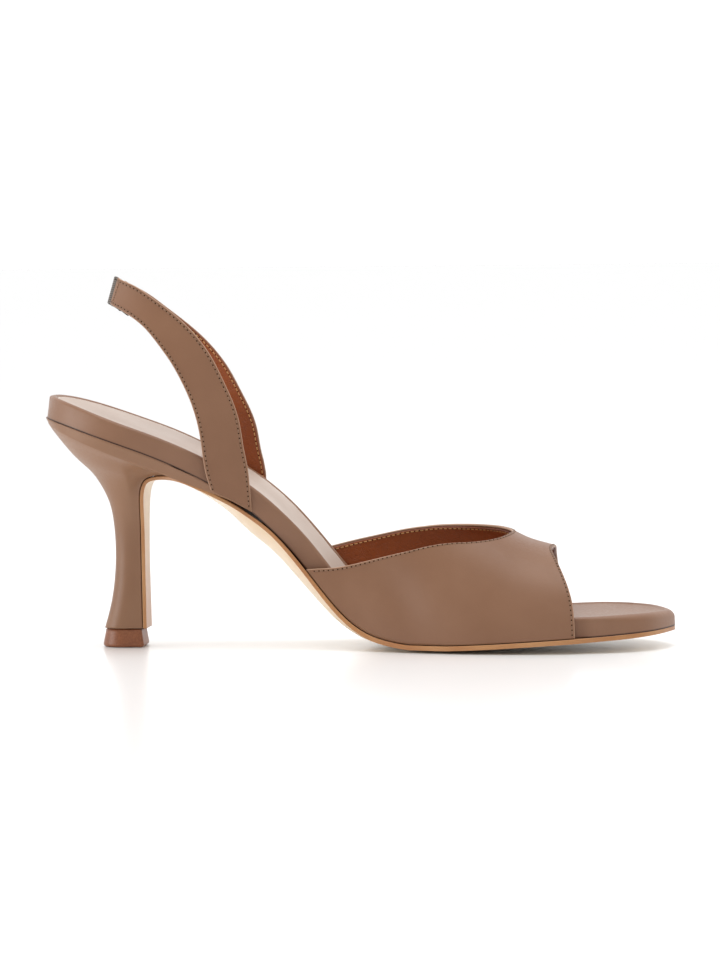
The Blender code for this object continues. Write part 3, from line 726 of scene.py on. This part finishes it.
def elastic_material():
    """Woven elastic tape: dark rubber-cored ribs along the tape, 0.7 mm apart, under a matt cover yarn."""
    material, shader, place = new_material("woven_elastic_dark", 0.75, 0.25, sheen=0.2)
    scale = 1000 / 0.7 / 20 * 6.28
    ribs = texture(material, place, "Wave", bands_direction="Z", in_Scale=scale, in_Distortion=0.3)
    tone = ramp(material, ribs, "Fac", [(0.2, linear("#3b3029")), (0.8, linear("#6e6358"))])
    return dressed(material, shader, tone, "Color", raised(material, ribs, "Fac", 0.5, 0.0002))


SOLE = sole_leather()
TIP = tip_plastic()
THREAD_TAUPE = thread_material("bonded_thread_taupe", "#8c6b52")
THREAD_GOLD = thread_material("bonded_thread_ochre", "#c9965f")
# Needle holes: dark discs of painted shade for the rough inside of each pierced hole in the leather
HOLE = leather("needle_hole_shadow", "#2e1a0e", "#24130a", "#3a2214", 0.8, 0.3, 0.2, 0.1)
ELASTIC = elastic_material()


# Footbed


SPINE = (0.07, 0.93)


def edge_soft(along):
    """The radius of the footbed's top edge, larger at the toe."""
    return INSOLE_ROUND + (TOE_ROUND - INSOLE_ROUND) * eased((along - 0.86) / 0.1)


def footbed_widths(along):
    """The footbed's half width and the middle of it, drawn in where the vamp's wall lies against it."""
    medial, lateral = half_widths(along)
    inset = (VAMP_WALL - VAMP_PROUD + GAP + VAMP_ROOM) * under_vamp(along)
    return (medial + lateral) / 2 - inset, (lateral - medial) / 2


def bed_loop(front, blunt, steps=170):
    """The outline as a closed loop seen from above: the medial side from the heel to the front, then the
    lateral side back. Within the blunt share of its length it closes as a superellipse of power 3."""
    along = front * (1 - np.cos(np.linspace(0, np.pi, steps))) / 2
    half, middle = footbed_widths(along)
    if blunt:
        end = np.clip((along / front - 1 + blunt) / blunt, 0, 1)
        half = half * (1 - end**3) ** (1 / 3)
    near = np.stack([x_at(along), middle - half], 1)
    far = np.stack([x_at(along), middle + half], 1)[::-1]
    return np.concatenate([near, far[1:-1]])


def drawn_in(loop, depth):
    """The loop moved inwards, across its own run."""
    run = unit(np.roll(loop, -1, 0) - np.roll(loop, 1, 0))
    return loop - np.stack([run[:, 1], -run[:, 0]], 1) * np.reshape(depth, (-1, 1))


def spine_at(along):
    """The line down the middle of the bed, which stops short of both ends."""
    along = np.clip(along, *SPINE)
    return np.stack([x_at(along), footbed_widths(along)[1]], -1)


def bed_top(plan):
    """The footbed's top over its underside at points seen from above: its thickness less the drop from
    its rim. How far out a point lies is a share across the bed, or round the spine's ends a share of the
    way from there to the rim."""
    along = along_at(plan[..., 0])
    half, middle = footbed_widths(along)
    reach = half - edge_soft(along)
    out = np.abs(plan[..., 1] - middle)
    rim = bed_loop(1.0, 0.0)
    rim = drawn_in(rim, edge_soft(along_at(rim[:, 0])))
    for end, way in zip(SPINE, (-1, 1)):
        centre = spine_at(np.array(end))
        beyond = rim[(rim[:, 0] - centre[0]) * way > -0.006] - centre
        angle = np.arctan2(beyond[:, 1], beyond[:, 0] * way)
        order = np.argsort(angle)
        radius = np.linalg.norm(beyond, axis=1)[order]
        here = (plan[..., 0] - centre[0]) * way > 0
        off = plan - centre
        turned = np.arctan2(off[..., 1], off[..., 0] * way)
        reach = np.where(here, np.interp(turned, angle[order], radius), reach)
        out = np.where(here, np.linalg.norm(off, axis=-1), out)
    sag = INSOLE_DISH + BED_BELLY * change(along, "belly") / 2
    return INSOLE_THICK * change(along, "insole") - top_drop(out, reach, sag, SOCK_BED)


def on_bed(plan, high):
    """Points over the bed: from the bed's line, high along its normal."""
    along = along_at(plan[..., 0])
    lean, up = bed_normal(along)
    return np.stack([plan[..., 0] + lean * high, plan[..., 1], bed_height(along) + up * high], -1)


def between(spine, edge, shares):
    """Loops between the spine and an edge, at shares of the way out."""
    return spine[None] + (edge - spine)[None] * shares[:, None, None]


def footbed():
    """The wrapped board and the sock on it. Both are rings that run parallel to the outline: out along the
    underside, up the hem, the side and the rounded top edge, and in over the top to the spine."""
    loop = bed_loop(1.0, 0.0)
    along = along_at(loop[:, 0])
    spine = spine_at(along)
    soft = edge_soft(along)
    out = np.sin(np.linspace(0.02, 1, 30) * np.pi / 2)
    turn = np.linspace(0, np.pi / 2, 9)
    low = between(spine, drawn_in(loop, INSOLE_HEM), out)
    low_high = -BED_BELLY * change(along_at(low[..., 0]), "belly") * (1 - out[:, None] ** 2)
    hem = np.stack([drawn_in(loop, INSOLE_HEM * (1 - math.sin(t))) for t in turn[1:]])
    hem_high = np.broadcast_to(INSOLE_HEM * (1 - np.cos(turn[1:]))[:, None], hem.shape[:2])
    side = np.stack([loop, loop])
    full = INSOLE_THICK * change(along, "insole")
    side_high = np.stack([0 * full + INSOLE_HEM * 1.3, full * 0.45])
    rim = np.stack([drawn_in(loop, soft * (1 - math.cos(t))) for t in turn])
    rim_high = INSOLE_THICK * change(along_at(rim[..., 0]), "insole") - soft * (1 - np.sin(turn))[:, None]
    top = between(spine, drawn_in(loop, soft), out[-2::-1])
    plan = np.concatenate([low, hem, side, rim, top])
    high = np.concatenate([low_high - SEAM_CLOSE, hem_high - SEAM_CLOSE, side_high, rim_high, bed_top(top)])
    # The underside and the hem take the wrap's dark edge colour, painted shade in the seam over the outsole.
    mask = np.zeros(plan.shape[:2])
    mask[: len(low) + len(hem)] = 1
    skin("insole_wrap", on_bed(plan, high), WRAP, ["insole"], mask, True)

    loop = bed_loop(SOCK_FRONT, 0.06)
    ragged = 0.00012 * np.sin(loop[:, 0] * 2100) * np.sin(loop[:, 0] * 730 + 1)
    loop = drawn_in(loop, SOCK_INSET + ragged)
    spine = spine_at(np.minimum(along_at(loop[:, 0]), SOCK_FRONT - 0.05))
    soft = SOCK_THICK * 0.6
    low = between(spine, loop, out[::3])
    rim = np.stack([drawn_in(loop, soft * (1 - math.cos(t))) for t in turn[::2]])
    top = between(spine, drawn_in(loop, soft), out[-2::-1])
    plan = np.concatenate([low, rim, top])
    lift = [np.zeros(len(low)), SOCK_THICK - soft * (1 - np.sin(turn[::2])), np.full(len(top), SOCK_THICK)]
    mask = np.zeros(plan.shape[:2])
    mask[len(low) : len(low) + len(rim)] = 1
    high = bed_top(plan) + np.concatenate(lift)[:, None] - SOCK_SINK
    skin("sock_lining", on_bed(plan, high), SOCK, (), mask, True)


footbed()


# Heel, outsole and top piece


def heel_row(name, share, unit):
    """A column of the heel's table at a share of the way from its base to its lip."""
    values = column(HEEL, name)
    return spline(np.linspace(0, 1, len(values)), values)(share) * unit


def heel_front(share):
    """The heel's front line at a share of the way up: x, z and half width."""
    x = x_at(0) + BREAST_AT + heel_row("front_x", share, LIP_REACH)
    return x, heel_row("front_z", share, ARCH_HEIGHT), heel_row("front_half", share, STEM_HALF)


def heel_rings(share, back_points=20, side_points=14, front_points=9):
    """Rings of the heel. Each is a D in its own tilted plane: a round back, sides that ease from the side's
    width to the front's, and a straight front, from the middle of the back round and back again."""
    front_x, front_z, front_half = (v[:, None] for v in heel_front(share))
    back_x = (x_at(0) + BREAST_AT - heel_row("back_x", share, HEEL_DEPTH))[:, None]
    back_z = heel_row("back_z", share, ARCH_HEIGHT)[:, None]
    side = heel_row("side_half", share, STEM_HALF)[:, None]
    depth = front_x - back_x
    start = np.minimum(0.9, side / depth)
    turn = np.linspace(0, np.pi / 2, back_points)[None, :]
    straight = np.linspace(0, 1, side_points + 1)[None, 1:]
    walk = np.concatenate([start * (1 - np.cos(turn)), start + (1 - start) * straight], 1)
    rest = eased((walk - start) / (1 - start))
    turned = np.concatenate([np.sin(turn), np.ones((1, side_points))], 1)
    half = side * turned + (front_half - side) * rest
    x = back_x + depth * walk
    z = back_z + (front_z - back_z) * walk
    medial = np.stack([x, -half, z], -1)
    lateral = np.stack([x, half, z], -1)[:, :0:-1]
    over = np.linspace(-1, 1, front_points + 2)[None, 1:-1]
    one = np.ones_like(over)
    front = np.stack([front_x * one, front_half * over, front_z * one], -1)
    return np.concatenate([medial, front, lateral], 1)


def heel_seat(low):
    """The heel's top ring: the insole's own outline, half a gap under the bed, so that its cover meets the
    footbed's in a fine line. The ring starts and ends just inside the outline's own ends."""
    end = 0.0004
    reach = low[:, 0].max() - low[0, 0]
    share = (low[:, 0] - low[0, 0]) / reach
    along = end + share * (along_at(low[:, 0].max()) - end)
    medial, lateral = half_widths(along)
    lean, up = bed_normal(along)
    limit = np.where(low[:, 1] > 0, lateral, medial)
    back = HEEL_PROUD * (1 - share)
    wide = np.where(share < 1 - end, limit + back, np.minimum(np.abs(low[:, 1]), limit))
    gap = GAP / 2
    return np.stack([x_at(along) - back - lean * gap, np.sign(low[:, 1]) * wide, bed_height(along) - up * gap], 1)


def heel_block():
    """The covered heel: its rings swing from level at the base to the slope of the seat."""
    rings = heel_rings(np.linspace(0, 0.955, 150))
    seat = heel_seat(heel_rings(np.array([1.0]))[0])
    blend = np.linspace(0, 1, 7)[1:, None, None]
    last = rings[-1][None] * (1 - blend) + seat[None] * blend
    skin("heel_cover", np.concatenate([rings, last]), HEEL_SKIN, ["heel"])


heel_block()


def top_piece():
    """The tip: the heel's base ring pushed out by a flare that grows towards the floor, its foot rounded."""
    base = heel_rings(np.array([0.0]))[0]
    middle = np.array([(base[:, 0].min() + base[:, 0].max()) / 2, 0.0])
    away = base[:, :2] - middle
    size = np.linalg.norm(away, axis=1)[:, None]
    high = np.array([0.0, 0.03, 0.08, 0.16, 0.35, 0.6, 0.85, 0.95, 1.0])[:, None, None]
    flare = np.array([0.45, 0.8, 1.0, 1.05, 0.8, 0.45, 0.12, 0.02, -0.4])[:, None, None]
    scale = 1 + (flare * TOP_PIECE_FLARE - TOP_PIECE_STEP) / size[None]
    flat = middle + away[None] * scale
    z = np.broadcast_to(high * TOP_PIECE_HIGH, flat[:, :, :1].shape)
    skin("top_piece_tip", np.concatenate([flat, z], 2), TIP, ["top_piece"])


top_piece()


def outsole():
    """The outsole: slab sections carried along its upper line, from the toe to the waist, under the lip
    and down the breast. Its edge is thin at the waist, and its underside bows down there."""
    lip = along_at(x_at(0) + BREAST_AT + LIP_REACH)
    along = stations(0.9996, lip + 0.012, 230)
    medial, lateral = half_widths(along)
    lean, up = bed_normal(along)
    proud = OUTSOLE_PROUD + VAMP_PROUD * under_vamp(along)
    thick = WAIST_EDGE + (OUTSOLE_EDGE - WAIST_EDGE) * change(along, "outsole")
    crown, belly = WAIST_CROWN * change(along, "crown"), BED_BELLY * change(along, "belly")
    sole = [x_at(along) - lean * GAP, bed_height(along) - up * GAP, medial + proud, lateral + proud]
    sole = np.stack([*sole, thick, crown, belly], 1)
    share = np.linspace(1.0, 0.0, 170)[1:]
    x, z, half = heel_front(share)
    ahead = heel_front(np.minimum(share + 0.01, 1.0))
    behind = heel_front(np.maximum(share - 0.01, 0.0))
    run_x, run_z = ahead[0] - behind[0], ahead[1] - behind[1]
    size = np.hypot(run_x, run_z)
    edge = half + OUTSOLE_PROUD * share
    crown = WAIST_CROWN * eased((share - 0.72) / 0.28)
    flap = [x + run_z / size * GAP, z - run_x / size * GAP, edge, edge, np.full_like(x, WAIST_EDGE), crown, 0 * x]
    flap = np.stack(flap, 1)
    path = np.concatenate([sole, flap])
    joint = len(sole)
    ease = np.exp(-(((np.arange(len(path)) - joint) / 9.0) ** 2))[:, None]
    padded = np.pad(path, ((10, 10), (0, 0)), "edge")
    smooth = np.stack([np.convolve(padded[:, c], np.ones(21) / 21, "valid") for c in range(path.shape[1])], 1)
    path = path * (1 - ease) + smooth * ease
    run_x, run_z = unit(np.gradient(path[:, :2], axis=0)).T[:, :, None]
    bow = curve(WAIST_BOW, "depth")(along_at(path[:, 0]))
    x, z, medial, lateral, thick, crown, belly = path.T[:, :, None]
    crown = crown + np.clip(bow, 0, None)[:, None]
    across, high, mask = slab_ring((medial + lateral) / 2, thick, OUTSOLE_HEM, belly, belly + crown)
    high = high - thick
    z = np.clip(z - run_x * high, 0.0, None)
    rings = np.stack([x + run_z * high, (lateral - medial) / 2 + across, z], -1)
    skin("outsole_leather", rings, SOLE, ["outsole"], mask)


outsole()


# Vamp


def vamp_point(along, turn):
    """A point of the last under the vamp: a superellipse over the bed, whose turn runs from the medial
    feather (0) over the ridge to the lateral one (1)."""
    medial, lateral = half_widths(along)
    angle = turn * np.pi
    power = 2 / SECTION_POWER
    to_medial = -(medial + VAMP_PROUD + RIDGE_SHIFT)
    to_lateral = lateral + VAMP_PROUD - RIDGE_SHIFT
    wide = np.where(angle < np.pi / 2, to_medial, to_lateral)
    y = RIDGE_SHIFT + wide * np.abs(np.cos(angle)) ** power
    crown = crown_share(along) * CROWN_HEIGHT
    z = bed_height(along) + crown * np.abs(np.sin(angle)) ** power
    return np.stack([x_at(along), y, z], -1)


def back_edge(turn):
    """How far along the vamp's topline lies at a turn, from the side view of the two toplines."""
    found = np.empty_like(turn)
    for table, side in ((MEDIAL_TOPLINE, turn <= 0.5), (LATERAL_TOPLINE, turn > 0.5)):
        keys = column(table, "along")
        along = np.linspace(keys[0], keys[-1], 600)
        height = curve(table, "height")(along) * THROAT_HEIGHT
        share = (height - bed_height(along)) / (crown_share(along) * CROWN_HEIGHT)
        share[0], share[-1] = 0.0, 1.0
        angle = np.arcsin(np.clip(share, 0, 1) ** (SECTION_POWER / 2)) / np.pi
        angle = np.maximum.accumulate(angle)
        reach = np.minimum(turn[side], 1 - turn[side])
        found[side] = np.interp(reach, angle, along)
    return found


def vamp_sheet(rows=60, columns=260):
    """The vamp's outer face: rows from the topline to the front edge, columns from medial to lateral."""
    turn = (1 - np.cos(np.linspace(0, np.pi, columns))) / 2
    turn = 0.35 * turn + 0.65 * np.linspace(0, 1, columns)
    back = back_edge(turn)
    kernel = np.hanning(11) / np.hanning(11).sum()
    back = np.concatenate([back[:5], np.convolve(back, kernel, "valid"), back[-5:]])
    front = front_along(turn)
    share = np.linspace(0, 1, rows)[:, None]
    along = back[None, :] + (front - back)[None, :] * share
    return vamp_point(along, np.broadcast_to(turn[None, :], along.shape))


def copies(name, grid, material):
    """One piece of many small skins: copy by ring by point by xyz."""
    count, rings, size = grid.shape[:3]
    body = np.array(wrapped_faces(rings, size, False))
    faces = (body[None] + (np.arange(count) * rings * size)[:, None, None]).reshape(-1, 4)
    piece_of(name, grid, faces.tolist(), material)


def stitch_row(line, normal, name, thread, lift=0.00006, hole=0.00027):
    """A row of stitches along a line: each is a capsule of thread that dips at both ends into a dark hole.
    The line is walked by arc length, and every stitch and hole is one copy of a small grid."""
    step = np.linalg.norm(np.diff(line, axis=0), axis=1)
    walked = np.concatenate([[0], np.cumsum(step)])
    count = int(walked[-1] / STITCH_PITCH)
    around = np.linspace(0, 2 * np.pi, 9)[None, :-1]

    def at(values, where):
        return np.stack([np.interp(where, walked, values[:, k]) for k in range(3)], -1)

    def placed(centre, where, over, high, beside):
        """Copies of a grid, given over the line, high over it and beside it, in metres."""
        up = unit(at(normal, where))
        run = unit(at(line, where + 0.0001) - at(line, where - 0.0001))
        ways = ((run, over), (up, high), (np.cross(run, up), beside))
        return centre + sum(way[:, None, None, :] * size[None, :, :, None] for way, size in ways)

    u = np.linspace(-1, 1, 9)
    width = (THREAD / 2 * np.sqrt(np.clip(1 - np.abs(u) ** 3, 0.02, None)))[:, None]
    dip = (lift - THREAD * 0.75 * u**4)[:, None]
    middle = (np.arange(count) + 0.5) * walked[-1] / count
    spots = at(line, middle[:, None] + u[None] * STITCH_PITCH * STITCH_SHARE / 2)[:, :, None, :]
    high = dip + width * np.cos(around) * 0.8
    copies(name, placed(spots, middle, 0 * high, high, width * np.sin(around)), thread)

    rise = np.linspace(0, np.pi, 6)[:, None]
    ends = np.arange(count + 1) * walked[-1] / count
    high = np.cos(rise) * 0.00007 + lift * 0.3 + 0 * around
    reach = hole * np.sin(rise)
    spots = at(line, ends)[:, None, None, :]
    grid = placed(spots, ends, reach * np.cos(around), high, reach * np.sin(around))
    copies(name + "_holes", grid, HOLE)


def inset_line(sheet, normal, depth, from_last=False, lift=0.0):
    """A line on a sheet at a distance from its first or last row, with its normals."""
    if from_last:
        sheet, normal = sheet[::-1], normal[::-1]
    walked = np.cumsum(np.linalg.norm(np.diff(sheet[:12], axis=0), axis=2), axis=0)
    walked = np.concatenate([np.zeros((1, sheet.shape[1])), walked])
    upper = np.argmax(walked >= depth, axis=0)
    column_at = np.arange(sheet.shape[1])
    low, high = walked[upper - 1, column_at], walked[upper, column_at]
    share = ((depth - low) / (high - low))[:, None]
    line = sheet[upper - 1, column_at] * (1 - share) + sheet[upper, column_at] * share
    up = normal[upper, column_at]
    return line + up * lift, up


def fold_relief(sheet):
    """How far the vamp's leather gives: each fold is a trough whose depth falls off as a bell, narrow
    across its line and long down it, on its own side of the shoe."""
    relief = np.zeros(sheet.shape[:2])
    for x, z, side, lean, width, length, depth in FOLDS[1:]:
        lean = math.radians(lean)
        out_x, out_z = sheet[:, :, 0] - x, sheet[:, :, 2] - z
        across = (out_x * math.cos(lean) + out_z * math.sin(lean)) / width
        down = (out_z * math.cos(lean) - out_x * math.sin(lean)) / length
        here = eased(sheet[:, :, 1] * side / 0.012)
        relief -= depth * np.exp(-(across**2)) * np.exp(-(down**2)) * here
    return relief


def vamp():
    """The vamp: a leather wall with rounded, folded edges, a lining inside it, and its two stitch rows."""
    sheet = vamp_sheet()
    centre = np.array([x_at(0.70), 0.0, 0.010])
    normal = sheet_normals(sheet, centre)
    sheet = sheet + normal * fold_relief(sheet)[:, :, None]
    normal = sheet_normals(sheet, centre)
    wall("vamp_leather", sheet, normal, (0.0, -VAMP_SKIN), NAPPA, ["vamp"])
    lining = (-VAMP_SKIN - VAMP_LINING_GAP, -VAMP_WALL, VAMP_LINING_IN)
    wall("vamp_lining", sheet, normal, lining, LINING)
    for face, depth, lift, trim, kind, thread, sizes in (
        (normal, STITCH_IN, 0.0, 3, "stitches", THREAD_TAUPE, ()),
        (-normal, LINING_STITCH_IN, VAMP_WALL, 12, "lining_stitches", THREAD_GOLD, LINING_STITCH),
    ):
        for edge, from_last in (("topline", False), ("front", True)):
            line, up = inset_line(sheet, face, depth, from_last, lift)
            stitch_row(line[trim:-trim], up[trim:-trim], "%s_%s" % (edge, kind), thread, *sizes)


vamp()


# Slingback


def sling_edges():
    """The slingback's two edges all the way round, from the medial foot (0) to the lateral (2)."""
    def both_ways(medial, lateral):
        """Values from the medial foot to the back, then on to the lateral foot."""
        return np.concatenate([medial, lateral[::-1][1:]])

    share = column(SLING, "share")
    loop = both_ways(share, 2 - share)
    bow = np.sin(np.pi * share)
    bow = np.where(share > 0.5, np.clip(bow, 0, 1) ** 0.75, bow)
    sag = both_ways(0 * share, bow * LATERAL_SAG)
    start = x_at(0) + STRAP_FOOT_AT
    edges = {}
    for edge in ("back", "front"):
        x = start - column(SLING, edge + "_x") * STRAP_REACH
        z = STRAP_FOOT_HEIGHT + column(SLING, edge + "_z") * STRAP_RISE
        y = column(SLING, edge + "_y")
        whole = both_ways(x, x), both_ways(-y * MEDIAL_SPREAD, y * LATERAL_SPREAD), both_ways(z, z) - sag
        edges[edge] = [spline(loop, values) for values in whole]
    return edges


EDGES = sling_edges()


def sling_sheet(first, last, rows, drop=0.0, inward=0.0, columns=20):
    """A sheet between the two edges: columns run from the back edge to the front edge, rows round the
    loop. It is moved inwards along its normal, and kept a gap outside the insole at its feet."""
    loop = np.linspace(first, last, rows)
    back = np.stack([value(loop) for value in EDGES["back"]], 1)
    front = np.stack([value(loop) for value in EDGES["front"]], 1)
    across = np.linspace(0, 1, columns)[:, None, None]
    sheet = back[None] * (1 - across) + front[None] * across
    centre = np.array([x_at(0) + STRAP_FOOT_AT - STRAP_REACH / 2, 0.0, sheet[:, :, 2].mean()])
    normal = sheet_normals(sheet, centre)
    sheet = sheet - normal * np.reshape(inward, (1, -1, 1))
    sheet[:, :, 2] -= drop
    along = along_at(sheet[:, :, 0])
    lean, up = bed_normal(along)
    high = (sheet[:, :, 2] - bed_height(along)) * up
    medial, lateral = half_widths(along_at(sheet[:, :, 0] - lean * high))
    clear = STRAP_WALL / 2 + GAP + FOOT_ROOM
    beside = np.where(sheet[:, :, 1] < 0, -(medial + clear), lateral + clear)
    low = eased((INSOLE_THICK + 0.002 - high) / 0.002)
    outside = np.where(np.abs(sheet[:, :, 1]) > np.abs(beside), sheet[:, :, 1], beside)
    sheet[:, :, 1] = outside * low + sheet[:, :, 1] * (1 - low)
    return sheet, sheet_normals(sheet, centre)


def strap(side, first, last):
    """One half of the slingback: leather outside, lining inside, stitched along both edges and the end."""
    sheet, normal = sling_sheet(first, last, 220)
    outer, split, inner = STRAP_WALL / 2, STRAP_WALL / 2 - STRAP_SKIN, -STRAP_WALL / 2
    wall("strap_leather_" + side, sheet, normal, (outer, split), NAPPA, ["strap_" + side])
    lining = (split - STRAP_LINING_GAP, inner, STRAP_LINING_IN)
    wall("strap_lining_" + side, sheet, normal, lining, LINING)
    for edge, from_last in (("back", False), ("front", True)):
        line, up = inset_line(sheet, normal, STITCH_IN, from_last, outer)
        name = "strap_stitches_%s_%s" % (side, edge)
        stitch_row(line[2:-2], up[2:-2], name, THREAD_TAUPE)
        line, up = inset_line(sheet, -normal, STITCH_IN, from_last, -inner)
        stitch_row(line[2:-2], up[2:-2], name + "_lining", THREAD_GOLD, *LINING_STITCH)
    end, inner_row = (-1, -5) if last <= 1 else (0, 4)
    line = sheet[2:-2, inner_row] + normal[2:-2, inner_row] * outer
    stitch_row(line, normal[2:-2, end], "strap_stitches_%s_end" % side, THREAD_TAUPE)


strap("medial", 0.0, STRAP_END)
strap("lateral", 2 - STRAP_END, 2.0)


def elastic():
    """The elastic behind the straps' ends: inside them, and bulging out between them."""
    rows = 90
    loop = np.linspace(ELASTIC_FROM, 2 - ELASTIC_FROM, rows)
    free = np.clip(1 - np.abs(loop - 1) / (1 - STRAP_END), 0, 1)
    inward = STRAP_WALL / 2 + GAP + ELASTIC_WALL / 2 - ELASTIC_BULGE * np.sin(free * np.pi / 2)
    sheet, normal = sling_sheet(ELASTIC_FROM, 2 - ELASTIC_FROM, rows, ELASTIC_DROP, inward)
    depths = (ELASTIC_WALL / 2, -ELASTIC_WALL / 2)
    wall("strap_elastic_tape", sheet, normal, depths, ELASTIC, ["strap_elastic"])


elastic()


# Studio

ROOM_LIGHT = 0.45
BACKDROP_LIGHT = 1.20
FLOOR_HALF = 6.0
FLOOR_DROP = 0.0002


def studio():
    """A pale glossy floor, a bright even surround and soft panels above and beside the shoe."""
    mesh = bpy.data.meshes.new("studio_floor")
    half = FLOOR_HALF
    mesh.from_pydata([(-half, -half, 0), (half, -half, 0), (half, half, 0), (-half, half, 0)], [], [(0, 1, 2, 3)])
    floor = in_scene("studio_floor", mesh)
    floor.location = (0, 0, -FLOOR_DROP)
    material, shader, _ = new_material("white_acrylic_floor", 0.24, 0.40, coat_roughness=0.03)
    shader.inputs["Base Color"].default_value = (0.97, 0.97, 0.97, 1)
    mesh.materials.append(material)

    world = bpy.data.worlds.new("studio_surround")
    bpy.context.scene.world = world
    world.use_nodes = True
    back = world.node_tree.nodes["Background"]
    back.inputs["Color"].default_value = (1.0, 1.0, 1.0, 1)
    # The lit backdrop stands behind the shoe, and the room on the camera's side is dimmer
    way = node(world, "TexCoord")
    parts = node(world, "SeparateXYZ", [("Vector", way, "Generated")])
    fall = node(
        world, "MapRange", [("Value", parts, "Y")], interpolation_type="SMOOTHSTEP",
        in_1=-0.35, in_2=0.35, in_3=ROOM_LIGHT, in_4=BACKDROP_LIGHT,
    )
    world.node_tree.links.new(fall.outputs["Result"], back.inputs["Strength"])
    bpy.context.scene.view_settings.view_transform = "Standard"

    for name, at, size_x, size_y, power in (
        ("panel_above", (0.05, -0.15, 1.1), 1.0, 0.8, 8.0),
        ("panel_front", (0.45, -1.1, 0.65), 0.6, 0.6, 1.5),
        ("panel_heel", (-0.95, -0.30, 0.10), 0.5, 0.4, 4.0),
    ):
        lamp = bpy.data.lights.new(name, "AREA")
        lamp.shape = "RECTANGLE"
        lamp.size = size_x
        lamp.size_y = size_y
        lamp.energy = power
        panel = in_scene(name, lamp)
        panel.location = at
        toward = Vector((-0.03, 0, 0.05)) - Vector(at)
        panel.rotation_euler = toward.to_track_quat("-Z", "Y").to_euler()


studio()


def photo_camera():
    """The photograph's camera: 6.5 degrees round towards the toe, 3.4 above, 2 m away, rolled a little."""
    around, above, roll, distance = math.radians(6.5), math.radians(3.43), math.radians(-0.7), 2.0
    metres_per_pixel = 0.000352
    ahead = Vector((-math.sin(around) * math.cos(above), math.cos(around) * math.cos(above), -math.sin(above)))
    right = Vector((math.cos(around), math.sin(around), 0.0))
    up = right.cross(ahead)
    right_r = math.cos(roll) * right + math.sin(roll) * up
    up_r = -math.sin(roll) * right + math.cos(roll) * up
    # The point (-26, 0, 60) mm lies at pixel (360.5, 475) of the 720 by 960 frame, whose middle is (360, 480)
    target = Vector((-0.026, 0.0, 0.060)) - right_r * (0.5 * metres_per_pixel) - up_r * (5.0 * metres_per_pixel)
    lens = bpy.data.cameras.new("photo_camera")
    lens.sensor_fit = "VERTICAL"
    lens.sensor_height = 24.0
    lens.lens = 24.0 * distance / (960 * metres_per_pixel)
    lens.clip_start = 0.05
    lens.clip_end = 50.0
    camera = in_scene("photo_camera", lens)
    turned = Matrix((right_r, up_r, -ahead)).transposed()
    camera.matrix_world = Matrix.Translation(target - ahead * distance) @ turned.to_4x4()
    bpy.context.scene.camera = camera


photo_camera()
